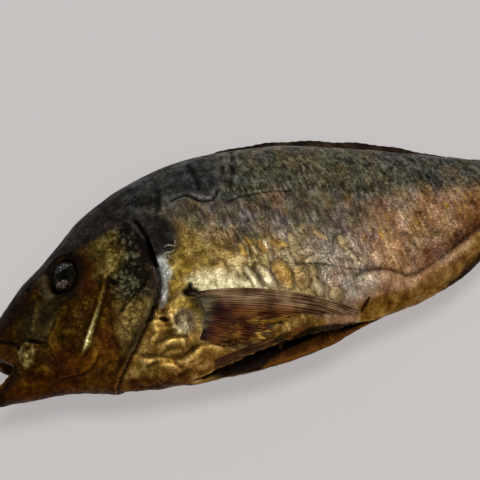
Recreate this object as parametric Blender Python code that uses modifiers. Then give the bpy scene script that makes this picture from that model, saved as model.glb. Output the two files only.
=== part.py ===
"""A whole hot-smoked bream, gutted through the belly, lying on its right side.

+X runs from the head to the tail, +Y from the belly to the back, and +Z up through the left flank.
Lengths are in millimetres until MM turns them into metres.
"""

import math

import bmesh
import bpy
from mathutils import Matrix, Vector
from mathutils.bvhtree import BVHTree

MM = 0.001

# Sections of the body from the snout to the root of the tail, each a line from the back to the belly:
# (distance along the fish and height at the back), (the same at the belly), half thickness
SECTIONS = (
    ((-3.0, 1.4), (-6.8, -15.6), 1.5),
    ((-1.8, 4.4), (-6.0, -18.2), 4.6),
    ((3.0, 9.4), (-1.6, -20.4), 7.6),
    ((9.5, 15.4), (6.0, -23.2), 10.2),
    ((18.0, 23.0), (15.5, -24.2), 13.2),
    ((27.5, 29.0), (27.0, -26.4), 15.6),
    ((37.5, 36.4), (39.0, -31.0), 17.5),
    ((49.0, 44.6), (52.0, -34.4), 19.0),
    ((66.0, 52.0), (68.0, -37.6), 20.3),
    ((84.0, 56.6), (86.0, -40.4), 20.8),
    ((102.0, 56.8), (104.0, -41.2), 20.5),
    ((120.0, 54.4), (122.0, -41.0), 19.3),
    ((138.0, 50.2), (137.0, -37.8), 17.3),
    ((155.0, 43.6), (154.0, -36.2), 15.0),
    ((172.0, 36.6), (170.0, -34.4), 12.4),
    ((189.0, 29.2), (187.0, -27.4), 9.8),
    ((204.0, 22.6), (204.0, -18.6), 7.6),
    ((218.0, 17.2), (218.0, -12.6), 6.0),
    ((232.0, 14.6), (232.0, -10.0), 4.6),
    ((246.0, 15.4), (246.0, -10.8), 3.2),
    ((250.0, 16.0), (250.0, -11.4), 2.6),
)
RINGS_PER_SECTION = 3
POINTS_PER_RING = 32
WIDEST_AT = 0.55  # share of the way from belly to back where the fish is thickest
BACK_EDGE = 1.15  # above 1 the back comes to a leaner edge than an ellipse
UNDERSIDE = 0.95  # the flank underneath is pressed a little flatter

SPINE_HEIGHT = 18.7  # of the middle plane above the table, so that the thickest stretch lies flat
DROOP_FROM = 140.0  # from here the stiff body sinks slowly towards the tail
DROOP_TO = 300.0
DROOP = 9.0

MOUTH_CORNER = (7.8, -12.6)
UPPER_GAPE = 134.0  # direction of the open mouth's upper edge, in degrees from +X
LOWER_GAPE = 192.0
GAPE_LENGTH = 26.0
THROAT = ((10.5, -10.4), (13.5, 6.4, 6.2))  # middle and half sizes of the hollow of the mouth

EYE_MIDDLE = (34.4, 14.2)
EYE_SIZE = (6.0, 8.2, 3.4)  # half sizes; drying has drawn the eye out along the slope of the forehead
EYE_LEAN = -18.0  # degrees of its long axis from straight up the fish, towards the tail
EYE_SUNK = 2.0  # of the eyeball's middle below the cheek
ORBIT_MIDDLE = (31.8, 14.8)
ORBIT_SIZE = (8.6, 9.2, 2.0)

# The free edge of the gill cover, from the nape round to the throat, and how wide it stands open
GILL_EDGE = (
    (65.6, 29.0),
    (67.0, 17.0),
    (66.6, 6.0),
    (66.4, -2.4),
    (62.2, -10.4),
    (51.5, -22.0),
    (37.0, -34.0),
)
GILL_GAP_TOP = 2.6
GILL_GAP_BOTTOM = 1.5
GILL_DEPTH = 6.0  # of the slit, below the flank
GILL_STEPS = 18

CAVITY = ((106.0, -15.0), (41.0, 21.0, 11.5))  # middle and half sizes
SLIT_START = 66.0
SLIT_END = 142.0
SLIT_HALF_WIDTH = 3.2
SLIT_RISE = 4.2  # the slit bows up from the belly's edge, as the lower flap bulges and the upper shrinks
SLIT_FLARE = 1.3  # it is this much wider outside the fish than in the cavity
SLIT_INSIDE = -23.4  # height up the fish to which the slit reaches into the cavity
SLIT_STEPS = 18

CLEAR_OF_FISH = 60.0  # a distance from the middle of the fish that is well outside it, where cutters end

FIN_GAP = 0.4  # between the body and a blade fin or an eyeball
FIN_LIFT = 0.7  # of a paired fin off the curved flank
FIN_THICKNESS = 0.9

# Paired fins as fans: root and tip of each ray named, from the leading ray to the last
PECTORAL_ROOT = ((79.6, -13.4), (75.0, -27.0))
PECTORAL_TIPS = ((136.8, -33.4), (131.0, -33.8), (107.5, -27.6), (102.6, -31.6), (96.4, -33.4), (88.0, -32.2))
PELVIC_ROOT = ((82.4, -33.6), (83.4, -37.0))
PELVIC_TIPS = ((116.5, -34.6), (113.0, -35.6), (106.0, -36.6), (97.0, -37.4))

DORSAL_SPAN = (92.0, 214.0)
DORSAL_HEIGHT = 3.4
ANAL_SPAN = (164.0, 213.0)
ANAL_HEIGHT = 2.0
BLADE_THICKNESS = 1.4
BLADE_EDGE = 0.5  # height that a blade keeps at its two ends
BLADE_RISE = 0.12  # share of its length over which it rises, and then the share over which it sinks
BLADE_FALL = 0.2
SPINE_WAVES = 6  # along the blade's edge, where groups of spines end
SPINE_DEPTH = 0.15  # of those waves, as a share of its height

TAIL_ROOT = 250.4
TAIL_MIDDLE = 2.2
TAIL_HALF_ROOT = 13.0
TAIL_HALF_SPREAD = 33.0
TAIL_LENGTH = 50.0
TAIL_FORK = 0.52  # length of the middle rays as a share of the outer ones
TAIL_FORK_CURVE = 1.3  # above 1 the fork is rounded
TAIL_RAY_CURVE = 1.15  # above 1 the rays leave the root straight and splay later
TAIL_THICKNESS = 1.4


def smooth(value):
    """0 to 1 with an easy start and end."""
    value = min(max(value, 0.0), 1.0)
    return value * value * (3.0 - 2.0 * value)


def lens(share, bluntness=1.0):
    """From nearly 0 at share 0 up to 1 halfway and back; below 1, bluntness rounds the two ends off."""
    return max(math.sin(math.pi * share), 0.03) ** bluntness


def middle_height(along):
    """Height of the fish's middle plane above the table."""
    return SPINE_HEIGHT - DROOP * smooth((along - DROOP_FROM) / (DROOP_TO - DROOP_FROM))


def flat_section(section):
    (back_x, back_y), (belly_x, belly_y), half = section
    return back_x, back_y, belly_x, belly_y, half


def curve_through(rows, place):
    """A smooth curve through rows of numbers, at place, which counts rows."""
    last = len(rows) - 1
    first = min(int(place), last - 1)
    t = place - first
    a, b, c, d = (rows[min(max(first + k, 0), last)] for k in (-1, 0, 1, 2))
    return tuple(
        0.5 * (2 * q + (r - p) * t + (2 * p - 5 * q + 4 * r - s) * t**2 + (3 * q - p - 3 * r + s) * t**3)
        for p, q, r, s in zip(a, b, c, d)
    )


BODY_ROWS = tuple(flat_section(section) for section in SECTIONS)


def edge_height(along, which):
    """Height of the back (which 0) or the belly (which 1) at a distance along the fish."""
    steps = 20 * (len(BODY_ROWS) - 1)
    places = [curve_through(BODY_ROWS, k / 20)[2 * which : 2 * which + 2] for k in range(steps + 1)]
    for (x0, y0), (x1, y1) in zip(places, places[1:]):
        if x0 <= along <= x1 and x1 > x0:
            return y0 + (y1 - y0) * (along - x0) / (x1 - x0)
    return places[-1][1]


def ring(row):
    """The points of one body section, from the back down the left flank to the belly and up the right."""
    back_x, back_y, belly_x, belly_y, half = row
    wide_x = belly_x + WIDEST_AT * (back_x - belly_x)
    wide_y = belly_y + WIDEST_AT * (back_y - belly_y)
    points = []
    for k in range(POINTS_PER_RING):
        angle = math.pi / 2 - 2 * math.pi * k / POINTS_PER_RING
        across, out = math.sin(angle), math.cos(angle)
        end_x, end_y = (back_x, back_y) if across > 0 else (belly_x, belly_y)
        x = wide_x + abs(across) * (end_x - wide_x)
        y = wide_y + abs(across) * (end_y - wide_y)
        thick = half * abs(out) ** (BACK_EDGE if across > 0 else 1.0)
        if out < 0:
            thick *= -UNDERSIDE
        points.append(Vector((x, y, max(middle_height(x) + thick, 0.0))))
    return points


def new_object(name, mesh, collection):
    thing = bpy.data.objects.new(name, mesh)
    collection.objects.link(thing)
    return thing


def finished(mesh, edit):
    """Writes a bmesh, in millimetres, to a mesh in metres with its faces pointing out."""
    bmesh.ops.recalc_face_normals(edit, faces=edit.faces)
    bmesh.ops.scale(edit, vec=(MM, MM, MM), verts=edit.verts)
    edit.to_mesh(mesh)
    edit.free()
    mesh.shade_smooth()
    return mesh


def body_shell(collection):
    """The uncut fish: a loft through the sections, closed at the lips and at the root of the tail."""
    edit = bmesh.new()
    count = RINGS_PER_SECTION * (len(BODY_ROWS) - 1)
    rings = []
    for k in range(count + 1):
        row = curve_through(BODY_ROWS, k / RINGS_PER_SECTION)
        rings.append([edit.verts.new(point) for point in ring(row)])
    for near, far in zip(rings, rings[1:]):
        for k in range(POINTS_PER_RING):
            after = (k + 1) % POINTS_PER_RING
            edit.faces.new((near[k], near[after], far[after], far[k]))
    edit.faces.new(rings[0])
    edit.faces.new(rings[-1])
    return new_object("body", finished(bpy.data.meshes.new("body"), edit), collection)


def prism(name, outline, end, collection):
    """A cutter: an outline of points in space, pulled straight up or down to the height end."""
    edit = bmesh.new()
    face = edit.faces.new([edit.verts.new(point) for point in outline])
    pulled = bmesh.ops.extrude_face_region(edit, geom=[face])
    for vertex in (v for v in pulled["geom"] if isinstance(v, bmesh.types.BMVert)):
        vertex.co.z = end
    bmesh.ops.triangulate(edit, faces=edit.faces)
    return new_object(name, finished(bpy.data.meshes.new(name), edit), collection)


def ball(name, middle, sizes, collection, turn=None, lean=0.0, segments=18, rings=12):
    """An ellipsoid about middle, leant round its Z axis, which is then turned to the given direction."""
    edit = bmesh.new()
    bmesh.ops.create_uvsphere(edit, u_segments=segments, v_segments=rings, radius=1.0)
    bmesh.ops.scale(edit, vec=sizes, verts=edit.verts)
    bmesh.ops.rotate(edit, matrix=Matrix.Rotation(math.radians(lean), 3, "Z"), verts=edit.verts)
    if turn is not None:
        rotation = Vector((0, 0, 1)).rotation_difference(turn).to_matrix()
        bmesh.ops.rotate(edit, matrix=rotation, verts=edit.verts)
    bmesh.ops.translate(edit, vec=middle, verts=edit.verts)
    return new_object(name, finished(bpy.data.meshes.new(name), edit), collection)


def as_cutter(thing):
    thing.hide_render = True
    thing.display_type = "WIRE"
    return thing


def cut(body, cutter):
    """Takes the cutter out of the body and keeps the result in the body's mesh."""
    step = body.modifiers.new(cutter.name, "BOOLEAN")
    step.operation = "DIFFERENCE"
    step.solver = "EXACT"
    step.object = as_cutter(cutter)
    bpy.context.view_layer.update()
    result = bpy.data.meshes.new_from_object(body.evaluated_get(bpy.context.evaluated_depsgraph_get()))
    body.modifiers.remove(step)
    body.data = result


class Flank:
    """Finds the body's surface above or below a place on the fish, in millimetres."""

    AROUND = ((0, 0), (2, 0), (-2, 0), (0, 2), (0, -2))  # the direction is averaged over these

    def __init__(self, body):
        self.tree = BVHTree.FromPolygons(
            [vertex.co / MM for vertex in body.data.vertices],
            [tuple(face.vertices) for face in body.data.polygons],
        )

    def at(self, x, y, side):
        """The surface point, or None beside the fish, and its outward direction.

        Side is 1 on the left flank and -1 on the right one.
        """
        inwards = Vector((0, 0, -side))
        starts = [Vector((x + dx, y + dy, CLEAR_OF_FISH * side)) for dx, dy in self.AROUND]
        hits = [self.tree.ray_cast(start, inwards) for start in starts]
        normals = [normal for point, normal, _, _ in hits if point is not None]
        return hits[0][0], sum(normals, Vector()).normalized()


def cut_mouth(body, cutters):
    """The open gape, a wedge from the corner of the mouth, and the hollow between the jaws."""
    corner = Vector((*MOUTH_CORNER, -CLEAR_OF_FISH))
    outline = [corner]
    for degrees in (LOWER_GAPE, UPPER_GAPE):
        angle = math.radians(degrees)
        outline.append(corner + GAPE_LENGTH * Vector((math.cos(angle), math.sin(angle), 0)))
    cut(body, prism("gape", outline, CLEAR_OF_FISH, cutters))
    (x, y), sizes = THROAT
    cut(body, ball("throat", (x, y, SPINE_HEIGHT), sizes, cutters))


def cut_gills(body, flank, cutters):
    """A narrow crescent behind each gill cover, of an even depth below the flank."""
    front, rear = [], []
    for k in range(GILL_STEPS + 1):
        share = k / GILL_STEPS
        x, y = curve_through(GILL_EDGE, share * (len(GILL_EDGE) - 1))
        gap = (GILL_GAP_TOP + (GILL_GAP_BOTTOM - GILL_GAP_TOP) * share) * lens(share, 0.3)
        front.append((x, y))
        rear.append((x + gap, y))
    for name, side in (("gill_slit_left", 1), ("gill_slit_right", -1)):
        floor = []
        for x, y in front + rear[::-1]:
            point, _ = flank.at(x, y, side)
            above_middle = (point.z - SPINE_HEIGHT) * side - GILL_DEPTH if point else 0.0
            floor.append(Vector((x, y, SPINE_HEIGHT + side * max(above_middle, 0.0))))
        cut(body, prism(name, floor, side * CLEAR_OF_FISH, cutters))


def cut_belly(body, cutters):
    """The emptied belly: a long hollow, and the slit between its two flaps."""
    (x, y), sizes = CAVITY
    cut(body, ball("cavity", (x, y, SPINE_HEIGHT), sizes, cutters, segments=24, rings=14))
    above, below = [], []
    for k in range(SLIT_STEPS + 1):
        share = k / SLIT_STEPS
        along = SLIT_START + (SLIT_END - SLIT_START) * share
        middle = SPINE_HEIGHT + SLIT_RISE * lens(share)
        half = SLIT_HALF_WIDTH * lens(share, 0.6)
        above.append((along, middle, half))
        below.append((along, middle, -half))
    outline = above + below[::-1]
    edit = bmesh.new()
    rim = [edit.verts.new((along, SLIT_INSIDE, middle + half)) for along, middle, half in outline]
    inner = edit.faces.new(rim)
    pulled = bmesh.ops.extrude_face_region(edit, geom=[inner])
    outer = [v for v in pulled["geom"] if isinstance(v, bmesh.types.BMVert)]
    for vertex, (_, middle, half) in zip(sorted(outer, key=lambda v: v.index), outline):
        vertex.co.z = middle + SLIT_FLARE * half
        vertex.co.y = -CLEAR_OF_FISH
    cut(body, new_object("slit", finished(bpy.data.meshes.new("slit"), edit), cutters))


def eye(body, flank, name, side, collection, cutters):
    """Sinks a socket and a wider orbit into the head and sets the eyeball in the socket."""
    cheek, normal = flank.at(*EYE_MIDDLE, side)
    rim, rim_normal = flank.at(*ORBIT_MIDDLE, side)
    middle = cheek - normal * EYE_SUNK
    cut(body, ball(name + "_orbit", rim, ORBIT_SIZE, cutters, rim_normal * side, EYE_LEAN))
    socket = tuple(size + FIN_GAP for size in EYE_SIZE)
    cut(body, ball(name + "_socket", middle, socket, cutters, normal * side, EYE_LEAN))
    return ball(name, middle, EYE_SIZE, collection, normal * side, EYE_LEAN)


def sheet(name, columns, rows, place, thickness, offset, collection):
    """A grid whose points place() puts in space from two shares, made solid."""
    edit = bmesh.new()
    bmesh.ops.create_grid(edit, x_segments=columns, y_segments=rows, size=0.5)
    for vertex in edit.verts:
        vertex.co = place(vertex.co.x + 0.5, vertex.co.y + 0.5)
    thing = new_object(name, finished(bpy.data.meshes.new(name), edit), collection)
    wall = thing.modifiers.new("thickness", "SOLIDIFY")
    wall.thickness = thickness * MM
    wall.offset = offset
    return thing


def fan_fin(name, root, tips, flank, side, collection, columns=13, rows=8):
    """A folded fin that lies on the flank: rays run from a short root to a curve of tips."""
    (top_x, top_y), (low_x, low_y) = root

    def place(along, across):
        tip_x, tip_y = curve_through(tips, across * (len(tips) - 1))
        x = top_x + across * (low_x - top_x)
        y = top_y + across * (low_y - top_y)
        x, y = x + along * (tip_x - x), y + along * (tip_y - y)
        point, normal = flank.at(x, y, side)
        return point + normal * (FIN_LIFT + FIN_THICKNESS / 2)

    return sheet(name, columns, rows, place, FIN_THICKNESS, 0.0, collection)


def blade_fin(name, span, height, which, collection, columns=24):
    """The folded back or anal fin: a low blade along the body's edge, ragged where the spines end."""
    start, end = span
    out = 1 if which == 0 else -1

    def place(along, up):
        x = start + along * (end - start)
        profile = smooth(along / BLADE_RISE) * smooth((1.0 - along) / BLADE_FALL)
        spines = 1.0 - SPINE_DEPTH * (1.0 - math.cos(2 * math.pi * SPINE_WAVES * along))
        y = edge_height(x, which) + out * (FIN_GAP + up * (BLADE_EDGE + height * profile * spines))
        return Vector((x, y, middle_height(x)))

    return sheet(name, columns, 2, place, BLADE_THICKNESS, 0.0, collection)


def tail_fin(collection):
    """The forked tail, its rays fanned from the root, lying level with the middle plane."""

    def place(along, across):
        share = 2.0 * across - 1.0
        reach = TAIL_LENGTH * (TAIL_FORK + (1.0 - TAIL_FORK) * abs(share) ** TAIL_FORK_CURVE)
        splay = (TAIL_HALF_SPREAD - TAIL_HALF_ROOT) * along**TAIL_RAY_CURVE
        x = TAIL_ROOT + along * reach
        return Vector((x, TAIL_MIDDLE + share * (TAIL_HALF_ROOT + splay), middle_height(x)))

    return sheet("tail_fin", 6, 16, place, TAIL_THICKNESS, 0.0, collection)


def paint(thing, label, colour, roughness, metallic=0.0):
    """One Principled material, shared by every object with the same label."""
    material = bpy.data.materials.get(label)
    if material is None:
        material = bpy.data.materials.new(label)
        material.use_nodes = True
        shader = material.node_tree.nodes["Principled BSDF"]
        shader.inputs["Base Color"].default_value = (*colour, 1.0)
        shader.inputs["Roughness"].default_value = roughness
        shader.inputs["Metallic"].default_value = metallic
    thing.data.materials.clear()
    thing.data.materials.append(material)


def stand_on_origin(things):
    """Moves the whole fish so that the middle of the bottom of its box is the origin."""
    bpy.context.view_layer.update()
    depsgraph = bpy.context.evaluated_depsgraph_get()
    corners = []
    for thing in things:
        shown = thing.evaluated_get(depsgraph)
        corners += [shown.matrix_world @ Vector(corner) for corner in shown.bound_box]
    low = [min(corner[axis] for corner in corners) for axis in range(3)]
    high = [max(corner[axis] for corner in corners) for axis in range(3)]
    shift = Vector((-(low[0] + high[0]) / 2, -(low[1] + high[1]) / 2, -low[2]))
    for thing in things:
        thing.location = shift


def main():
    for old in list(bpy.data.objects):
        bpy.data.objects.remove(old)
    fish = bpy.data.collections.new("smoked_fish")
    cutters = bpy.data.collections.new("cutters")
    for collection in (fish, cutters):
        bpy.context.scene.collection.children.link(collection)

    body = body_shell(fish)
    flank = Flank(body)
    cut_gills(body, flank, cutters)
    cut_mouth(body, cutters)
    cut_belly(body, cutters)
    sides = (("left", 1), ("right", -1))
    eyes = [eye(body, flank, "eye_" + name, side, fish, cutters) for name, side in sides]
    fins = [
        blade_fin("dorsal_fin", DORSAL_SPAN, DORSAL_HEIGHT, 0, fish),
        blade_fin("anal_fin", ANAL_SPAN, ANAL_HEIGHT, 1, fish, columns=14),
        tail_fin(fish),
    ]
    for name, side in sides:
        fins.append(fan_fin("pectoral_fin_" + name, PECTORAL_ROOT, PECTORAL_TIPS, flank, side, fish))
        pelvic = fan_fin("pelvic_fin_" + name, PELVIC_ROOT, PELVIC_TIPS, flank, side, fish, columns=9, rows=4)
        fins.append(pelvic)
    paint(body, "smoked_skin", (0.20, 0.13, 0.05), 0.4, 0.3)
    for thing in eyes:
        paint(thing, "dried_eye", (0.03, 0.03, 0.02), 0.25)
    for thing in fins:
        paint(thing, "fin", (0.10, 0.04, 0.015), 0.45)
    stand_on_origin([body, *eyes, *fins])


main()
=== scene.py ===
"""A whole hot-smoked bream, gutted through the belly, lying on its right side on a pale table.

Places on the fish are in millimetres: along it from the lips to the tail, up it from the belly to the back,
and heights are above the table.
"""

import math

import bmesh
import bpy
import numpy as np
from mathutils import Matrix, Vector, noise
from mathutils.bvhtree import BVHTree
from mathutils.kdtree import KDTree


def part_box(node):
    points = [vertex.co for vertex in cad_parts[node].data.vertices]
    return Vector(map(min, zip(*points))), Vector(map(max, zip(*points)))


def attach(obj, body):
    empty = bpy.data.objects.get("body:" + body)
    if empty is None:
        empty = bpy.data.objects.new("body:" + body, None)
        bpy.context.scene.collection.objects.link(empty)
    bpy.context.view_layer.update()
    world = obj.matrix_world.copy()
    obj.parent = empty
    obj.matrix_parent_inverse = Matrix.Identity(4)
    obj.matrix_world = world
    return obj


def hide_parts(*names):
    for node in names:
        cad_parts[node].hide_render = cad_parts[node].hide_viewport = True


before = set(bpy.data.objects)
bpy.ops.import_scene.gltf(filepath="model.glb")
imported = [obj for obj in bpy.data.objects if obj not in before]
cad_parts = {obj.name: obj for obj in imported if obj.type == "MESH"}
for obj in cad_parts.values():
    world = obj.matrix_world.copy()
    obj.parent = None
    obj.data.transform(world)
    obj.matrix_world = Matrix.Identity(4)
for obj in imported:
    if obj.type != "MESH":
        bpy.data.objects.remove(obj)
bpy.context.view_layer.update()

MM = 0.001

# Zero of the places on the fish: so far behind the tip of the lower jaw and above the belly's lowest point
JAW_REACH = 6.79
BELLY_REACH = 41.33
body_low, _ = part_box("body")
ZERO = np.array((body_low.x + JAW_REACH * MM, body_low.y + BELLY_REACH * MM, 0.0))
MIDDLE_HEIGHT = 18.7  # of the fish's plane of symmetry

SKIN_GRAIN = 0.66  # size of the skin's faces on the left flank
SKIN_TRIANGLES = 196000
CRISP_RIM = 0.8  # how far from a cut's rim the skin keeps its sharp edge
SMOOTH_RIM = 4.3  # how far from it the skin is smoothed in full
SMOOTHING = (45, 2)  # passes away from the rims, then everywhere
# How far the skin's points look for other skin, and in which rings of directions: tilt in degrees, how many
GILL_LOOK = (9.0, ((50, 6),))
SHADE_LOOK = (6.0, ((35, 5), (65, 7)))
JAW_DROP = 2.6  # how far the lower jaw's rim is drawn down
OVER_TABLE = 0.02  # the lowest that the skin lies

# ---------------------------------------------------------------- places on the fish

GILL_EDGE = ((65.6, 29), (67, 17), (66.6, 6), (66.4, -2.4), (62.2, -10.4), (51.5, -22), (37, -34))
PREOPERCLE = (
    (50.2, 6.6), (49.4, 6.0), (47.1, 1.5), (43.9, -3.5), (40.5, -8.2), (37.1, -12.7), (34.3, -16.4),
    (31, -19.0),
)
BONE_LINE = ((47.5, -2.1), (45.7, -10.2), (44.8, -17.4), (45.9, -22.1))
OPERCLE_FOLD = ((66, 1.5), (61, -3), (55, -6), (49, -10))
CHEEK_EDGE = ((21.1, -22.1), (25.6, -22.7), (31.3, -23.3), (35, -22.4), (38.7, -19.5))
SUBORBITAL_FRONT = ((22.8, 8.1), (20.5, 3.7), (18.7, 0.2), (17, -3.2))
SUBORBITAL_REAR = ((27.5, -2.2), (24.5, -5.7), (20.5, -9.9))
LOWER_LID = ((23.9, 12.6), (26, 7.8), (29.9, 4.5), (34.6, 4.6), (38.4, 6.9))
MAXILLA = ((10.5, -7.5), (14.2, -6), (16.2, -8.5), (15.3, -12.7), (11.9, -14.6), (10, -12))
LIP_GROOVE = ((-2, 3), (3, 0.6), (6.5, -1.6), (10, -4.6), (11.4, -8))
JAW_RIM = ((8.6, -12.4), (6.4, -14.6), (3.6, -17.4), (0.5, -20.4), (-3, -23.4))
JAW_STREAK = ((8.7, -20.2), (12.3, -20.8), (16.6, -21.8))
BELLY_FOLD = (
    (50, -25), (55.6, -26.4), (60.6, -28.7), (65.8, -30.4), (74.1, -29.1), (82, -30.9), (87.9, -34.3),
)
LOWER_FOLD = ((52.5, -29.5), (58.3, -29.5), (62.5, -30.9), (66.4, -33.9))
THROAT_FOLD = ((57.3, -23.9), (62.7, -22.9), (67.4, -23.8), (71, -25.5))
REAR_CREASE = (
    (137.4, -22.7), (143.5, -21.1), (151.4, -22.3), (156.7, -25.1), (161.1, -26.9), (173.2, -24),
    (186.9, -18.4), (196.6, -14.6), (212, -9),
)
BACK_CRACK = ((83.1, 30), (87.5, 31), (90.3, 29.2), (93.2, 25.8), (97.7, 24.6), (101.4, 28.1))
FLANK_CRACK = ((103.6, 21.3), (107.5, 22), (117.3, 21.4), (128.1, 19))
BELLY_CRACK = ((118.4, -12.2), (126.7, -14.1), (136.2, -18.5), (146.1, -21.8))
BLISTER_FOLD = ((103.7, 3.6), (103.7, -1.7), (103.2, -7.6), (103.5, -15.4), (103.6, -20.5))
GILL_LINE = (
    (66.0, 4), (65.2, 0), (64.7, -3.7), (63.4, -7.3), (61.2, -11.3), (57.8, -14.6), (52.1, -20),
    (45.2, -25.2), (38.8, -29.2),
)
FURROWS = (
    ((80.6, 44.9), (79.2, 36), (76.6, 27.4)),
    ((95.3, 47.4), (95.7, 39.3), (94.9, 32)),
    ((107.2, 39.7), (106.2, 32.2)),
    ((114.8, 50.5), (111, 38), (106.5, 28.5)),
)
# Short hollows, dark with painted shade: middle, half length, half width, direction in degrees, depth
PITS = (
    ((77.0, -10.4), 2.8, 1.6, 160, 1.6),
    ((77.6, -8.2), 1.4, 0.7, 60, 0.8),
    ((16.9, -6.9), 3.4, 0.7, -34, 1.2),
    ((51.0, 3.9), 2.0, 0.9, -65, 1.2),
    ((64.5, -16.6), 2.0, 0.7, -30, 0.8),
    ((20.5, 15.2), 1.2, 0.8, 40, 0.7),
    ((17.4, 13.0), 0.8, 0.5, 40, 0.5),
)

EYE_RIM = ((34.4, 14.2), 8.6, 6.4, 72)  # middle, half length, half width, direction in degrees
# Patches of the eye: from its middle to theirs, half length, half width, direction in degrees
CREAM_PATCH = ((-2.2, -4.4), 3.0, 1.9, -20)
GLINT_PATCH = ((0.3, 4.2), 3.8, 2.0, 10)

# Blisters where the skin has lifted: middle, half length, half width, degrees, height, paleness
BLISTERS = (
    ((100.9, -12.5), 6.0, 2.0, -72, 0.9, 1.0),
    ((105.9, -13.6), 6.5, 2.5, -70, 0.9, 0.9),
    ((112.2, -14.2), 6.2, 3.5, -80, 0.7, 0.1),
    ((101.2, -0.9), 3.2, 1.1, -80, 0.5, 0.1),
    ((104.5, 0.2), 4.6, 1.5, -74, 0.6, 0.1),
    ((105.9, -2.4), 2.4, 1.1, -70, 0.4, 0.6),
    ((109.0, -1.7), 3.4, 1.6, -84, 0.5, 0.1),
    ((110.4, -1.2), 3.2, 1.2, -84, 0.5, 0.9),
    ((114.2, -2.0), 2.6, 1.3, -70, 0.4, 0.1),
    ((116.6, -2.8), 2.4, 1.2, -66, 0.4, 0.1),
    ((118.5, -17.4), 4.6, 3.0, -96, 0.5, 0.3),
    ((123.5, -16.9), 3.2, 1.9, -100, 0.6, 0.5),
    ((123.3, -22.6), 3.9, 1.9, -84, 0.7, 0.8),
    ((129.5, -26.9), 2.8, 3.0, -90, 0.6, 0.5),
    ((139.4, -8.6), 3.6, 1.9, -76, 0.6, 0.5),
    ((140.4, -13.9), 3.4, 1.5, -66, 0.9, 1.0),
    ((120.4, -5.8), 6.4, 2.1, -92, 0.5, 0.6),
    ((131.6, -3.0), 4.4, 1.3, -60, 0.4, 0.4),
)

# Areas on the fish, as the corners of rounded outlines
BELLY_SKIN = ((50, -28), (62, -31.5), (78, -33), (86, -38), (80, -46), (60, -44), (46, -34))
PECTORAL_BASE = ((67, -12), (72, -10), (77.5, -13), (78.5, -22), (75.5, -27), (70, -27), (66, -20))
THROAT_WRINKLES = ((63, -11), (70, -13), (67, -26), (57, -25))
UNDER_FIN = (
    (76, -10), (92, -13), (116, -22), (142, -35), (128, -38), (108, -31), (96, -37), (78, -38), (73, -28),
)
HEAD_BELOW_TOP = (
    (-30, -30), (-24, 0), (0, 2), (10, 9), (19.2, 14.5), (31.3, 22.7), (42.3, 24.2), (56, 25),
    (69.6, 28.4), (76, 20), (70, -45),
)
SHOULDER_GOLD = (
    (70, 12), (78, 18), (92, 8), (106, -6), (118, -12), (118, -22), (96, -22), (80, -12), (72, -12),
    (62, -22), (60, -8),
)
SILVER_AND_HIGHLIGHT = ((77.4, -6.5), (84.4, -5), (96, -9.5), (108, -13), (112, -19), (98, -17), (82, -13))
BELLY_GOLD = (
    (46, -24), (60, -9), (68, -12), (76, -26), (90, -34), (118, -32), (120, -38), (96, -50), (36, -48),
    (36, -30),
)
BEHIND_FIN = ((104.7, -27.2), (113.5, -29.3), (118, -31.7), (116.5, -36), (107.5, -37.1), (99, -36.6))
REAR_BELLY = (
    (136, -32), (146, -31), (157, -31), (166, -28.6), (178, -25), (187, -22.2), (193, -18.4), (200, -14),
    (214, -8), (214, -30), (170, -50), (134, -50),
)
PINK_FLESH = (
    (166, -27), (176, -23.4), (187, -20.2), (192, -18), (189, -23.4), (183, -25.8), (172, -29.6),
    (160, -33.4), (157, -31),
)
SNOUT = ((-8, 2), (7, 1), (14, 3.5), (19.5, 8), (23, 16.4), (29, 22), (34, 27), (20, 32), (-8, 24))
RUSSET = (
    ((40, 21), (46, 20), (47, 11), (43, 2), (38, 4), (41, 12)),
    ((21.6, -12), (29, -13.4), (30, -22), (21, -22.6)),
    ((39, -13.6), (43.4, -14), (44.4, -20), (40, -18)),
)
LOWER_FLAP = (
    (80, -41.5), (90, -39.6), (98, -37.6), (107, -36), (116, -35), (136, -35), (144, -36.5), (144, -52),
    (76, -52),
)
OPERCLE_GOLD = ((50, -6), (60.2, -7), (64.5, -6), (56, -17), (47, -22), (46.6, -14))
OPERCLE_UPPER = ((53.5, 26), (64, 24), (66, 1), (61, -8), (50.7, -4), (52, 8))
CROWN_GOLD = ((42, 20), (50, 24.5), (57.5, 23), (56.5, 10), (49, 6), (42, 10))
SUBORBITAL_PLATE = (
    (15.2, 6.8), (22.8, 8.1), (29.2, 4.8), (27.9, -2.3), (20.9, -9.7), (16, -5.2), (12.4, -0.9),
)
UPPER_LIP = ((-4, 1), (3, -1), (8.2, -4), (11, -8), (9, -13), (5, -11), (-4, -9))
BLOTCH = (
    (60, 28), (68, 28.5), (76, 25), (80, 18), (79, 10), (74.5, 6), (70.5, 3.5), (67, 4), (65, 16),
    (62, 21),
)
CLEITHRUM = ((67.2, 6.4), (72.4, 5), (71.4, -2), (68.6, -7), (65, -11), (65.2, -6), (66, 0))
CRACKLE = (
    (115, -3), (129, -1), (140, -8), (146, -16), (154, -20), (153, -26), (136, -25), (124, -19),
    (114, -10),
)
NAPE = ((56, 26), (80, 28), (96, 27), (104, 38), (100, 60), (50, 56))
CALM_BACK = (
    (-10, 8), (19, 16), (42, 26), (66, 30), (90, 36), (130, 42), (200, 24), (250, 14), (250, 60),
    (-10, 60),
)
BLISTER_GROUND = (
    (96, -4), (104, 2), (114, 1), (121, -4), (122, -14), (130, -18), (128, -28), (114, -26), (94, -17),
)
PALE_GROUND = ((118, 0), (132, -1), (141, -9), (147, -17), (143, -27), (133, -30), (127, -22), (119, -12))
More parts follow.
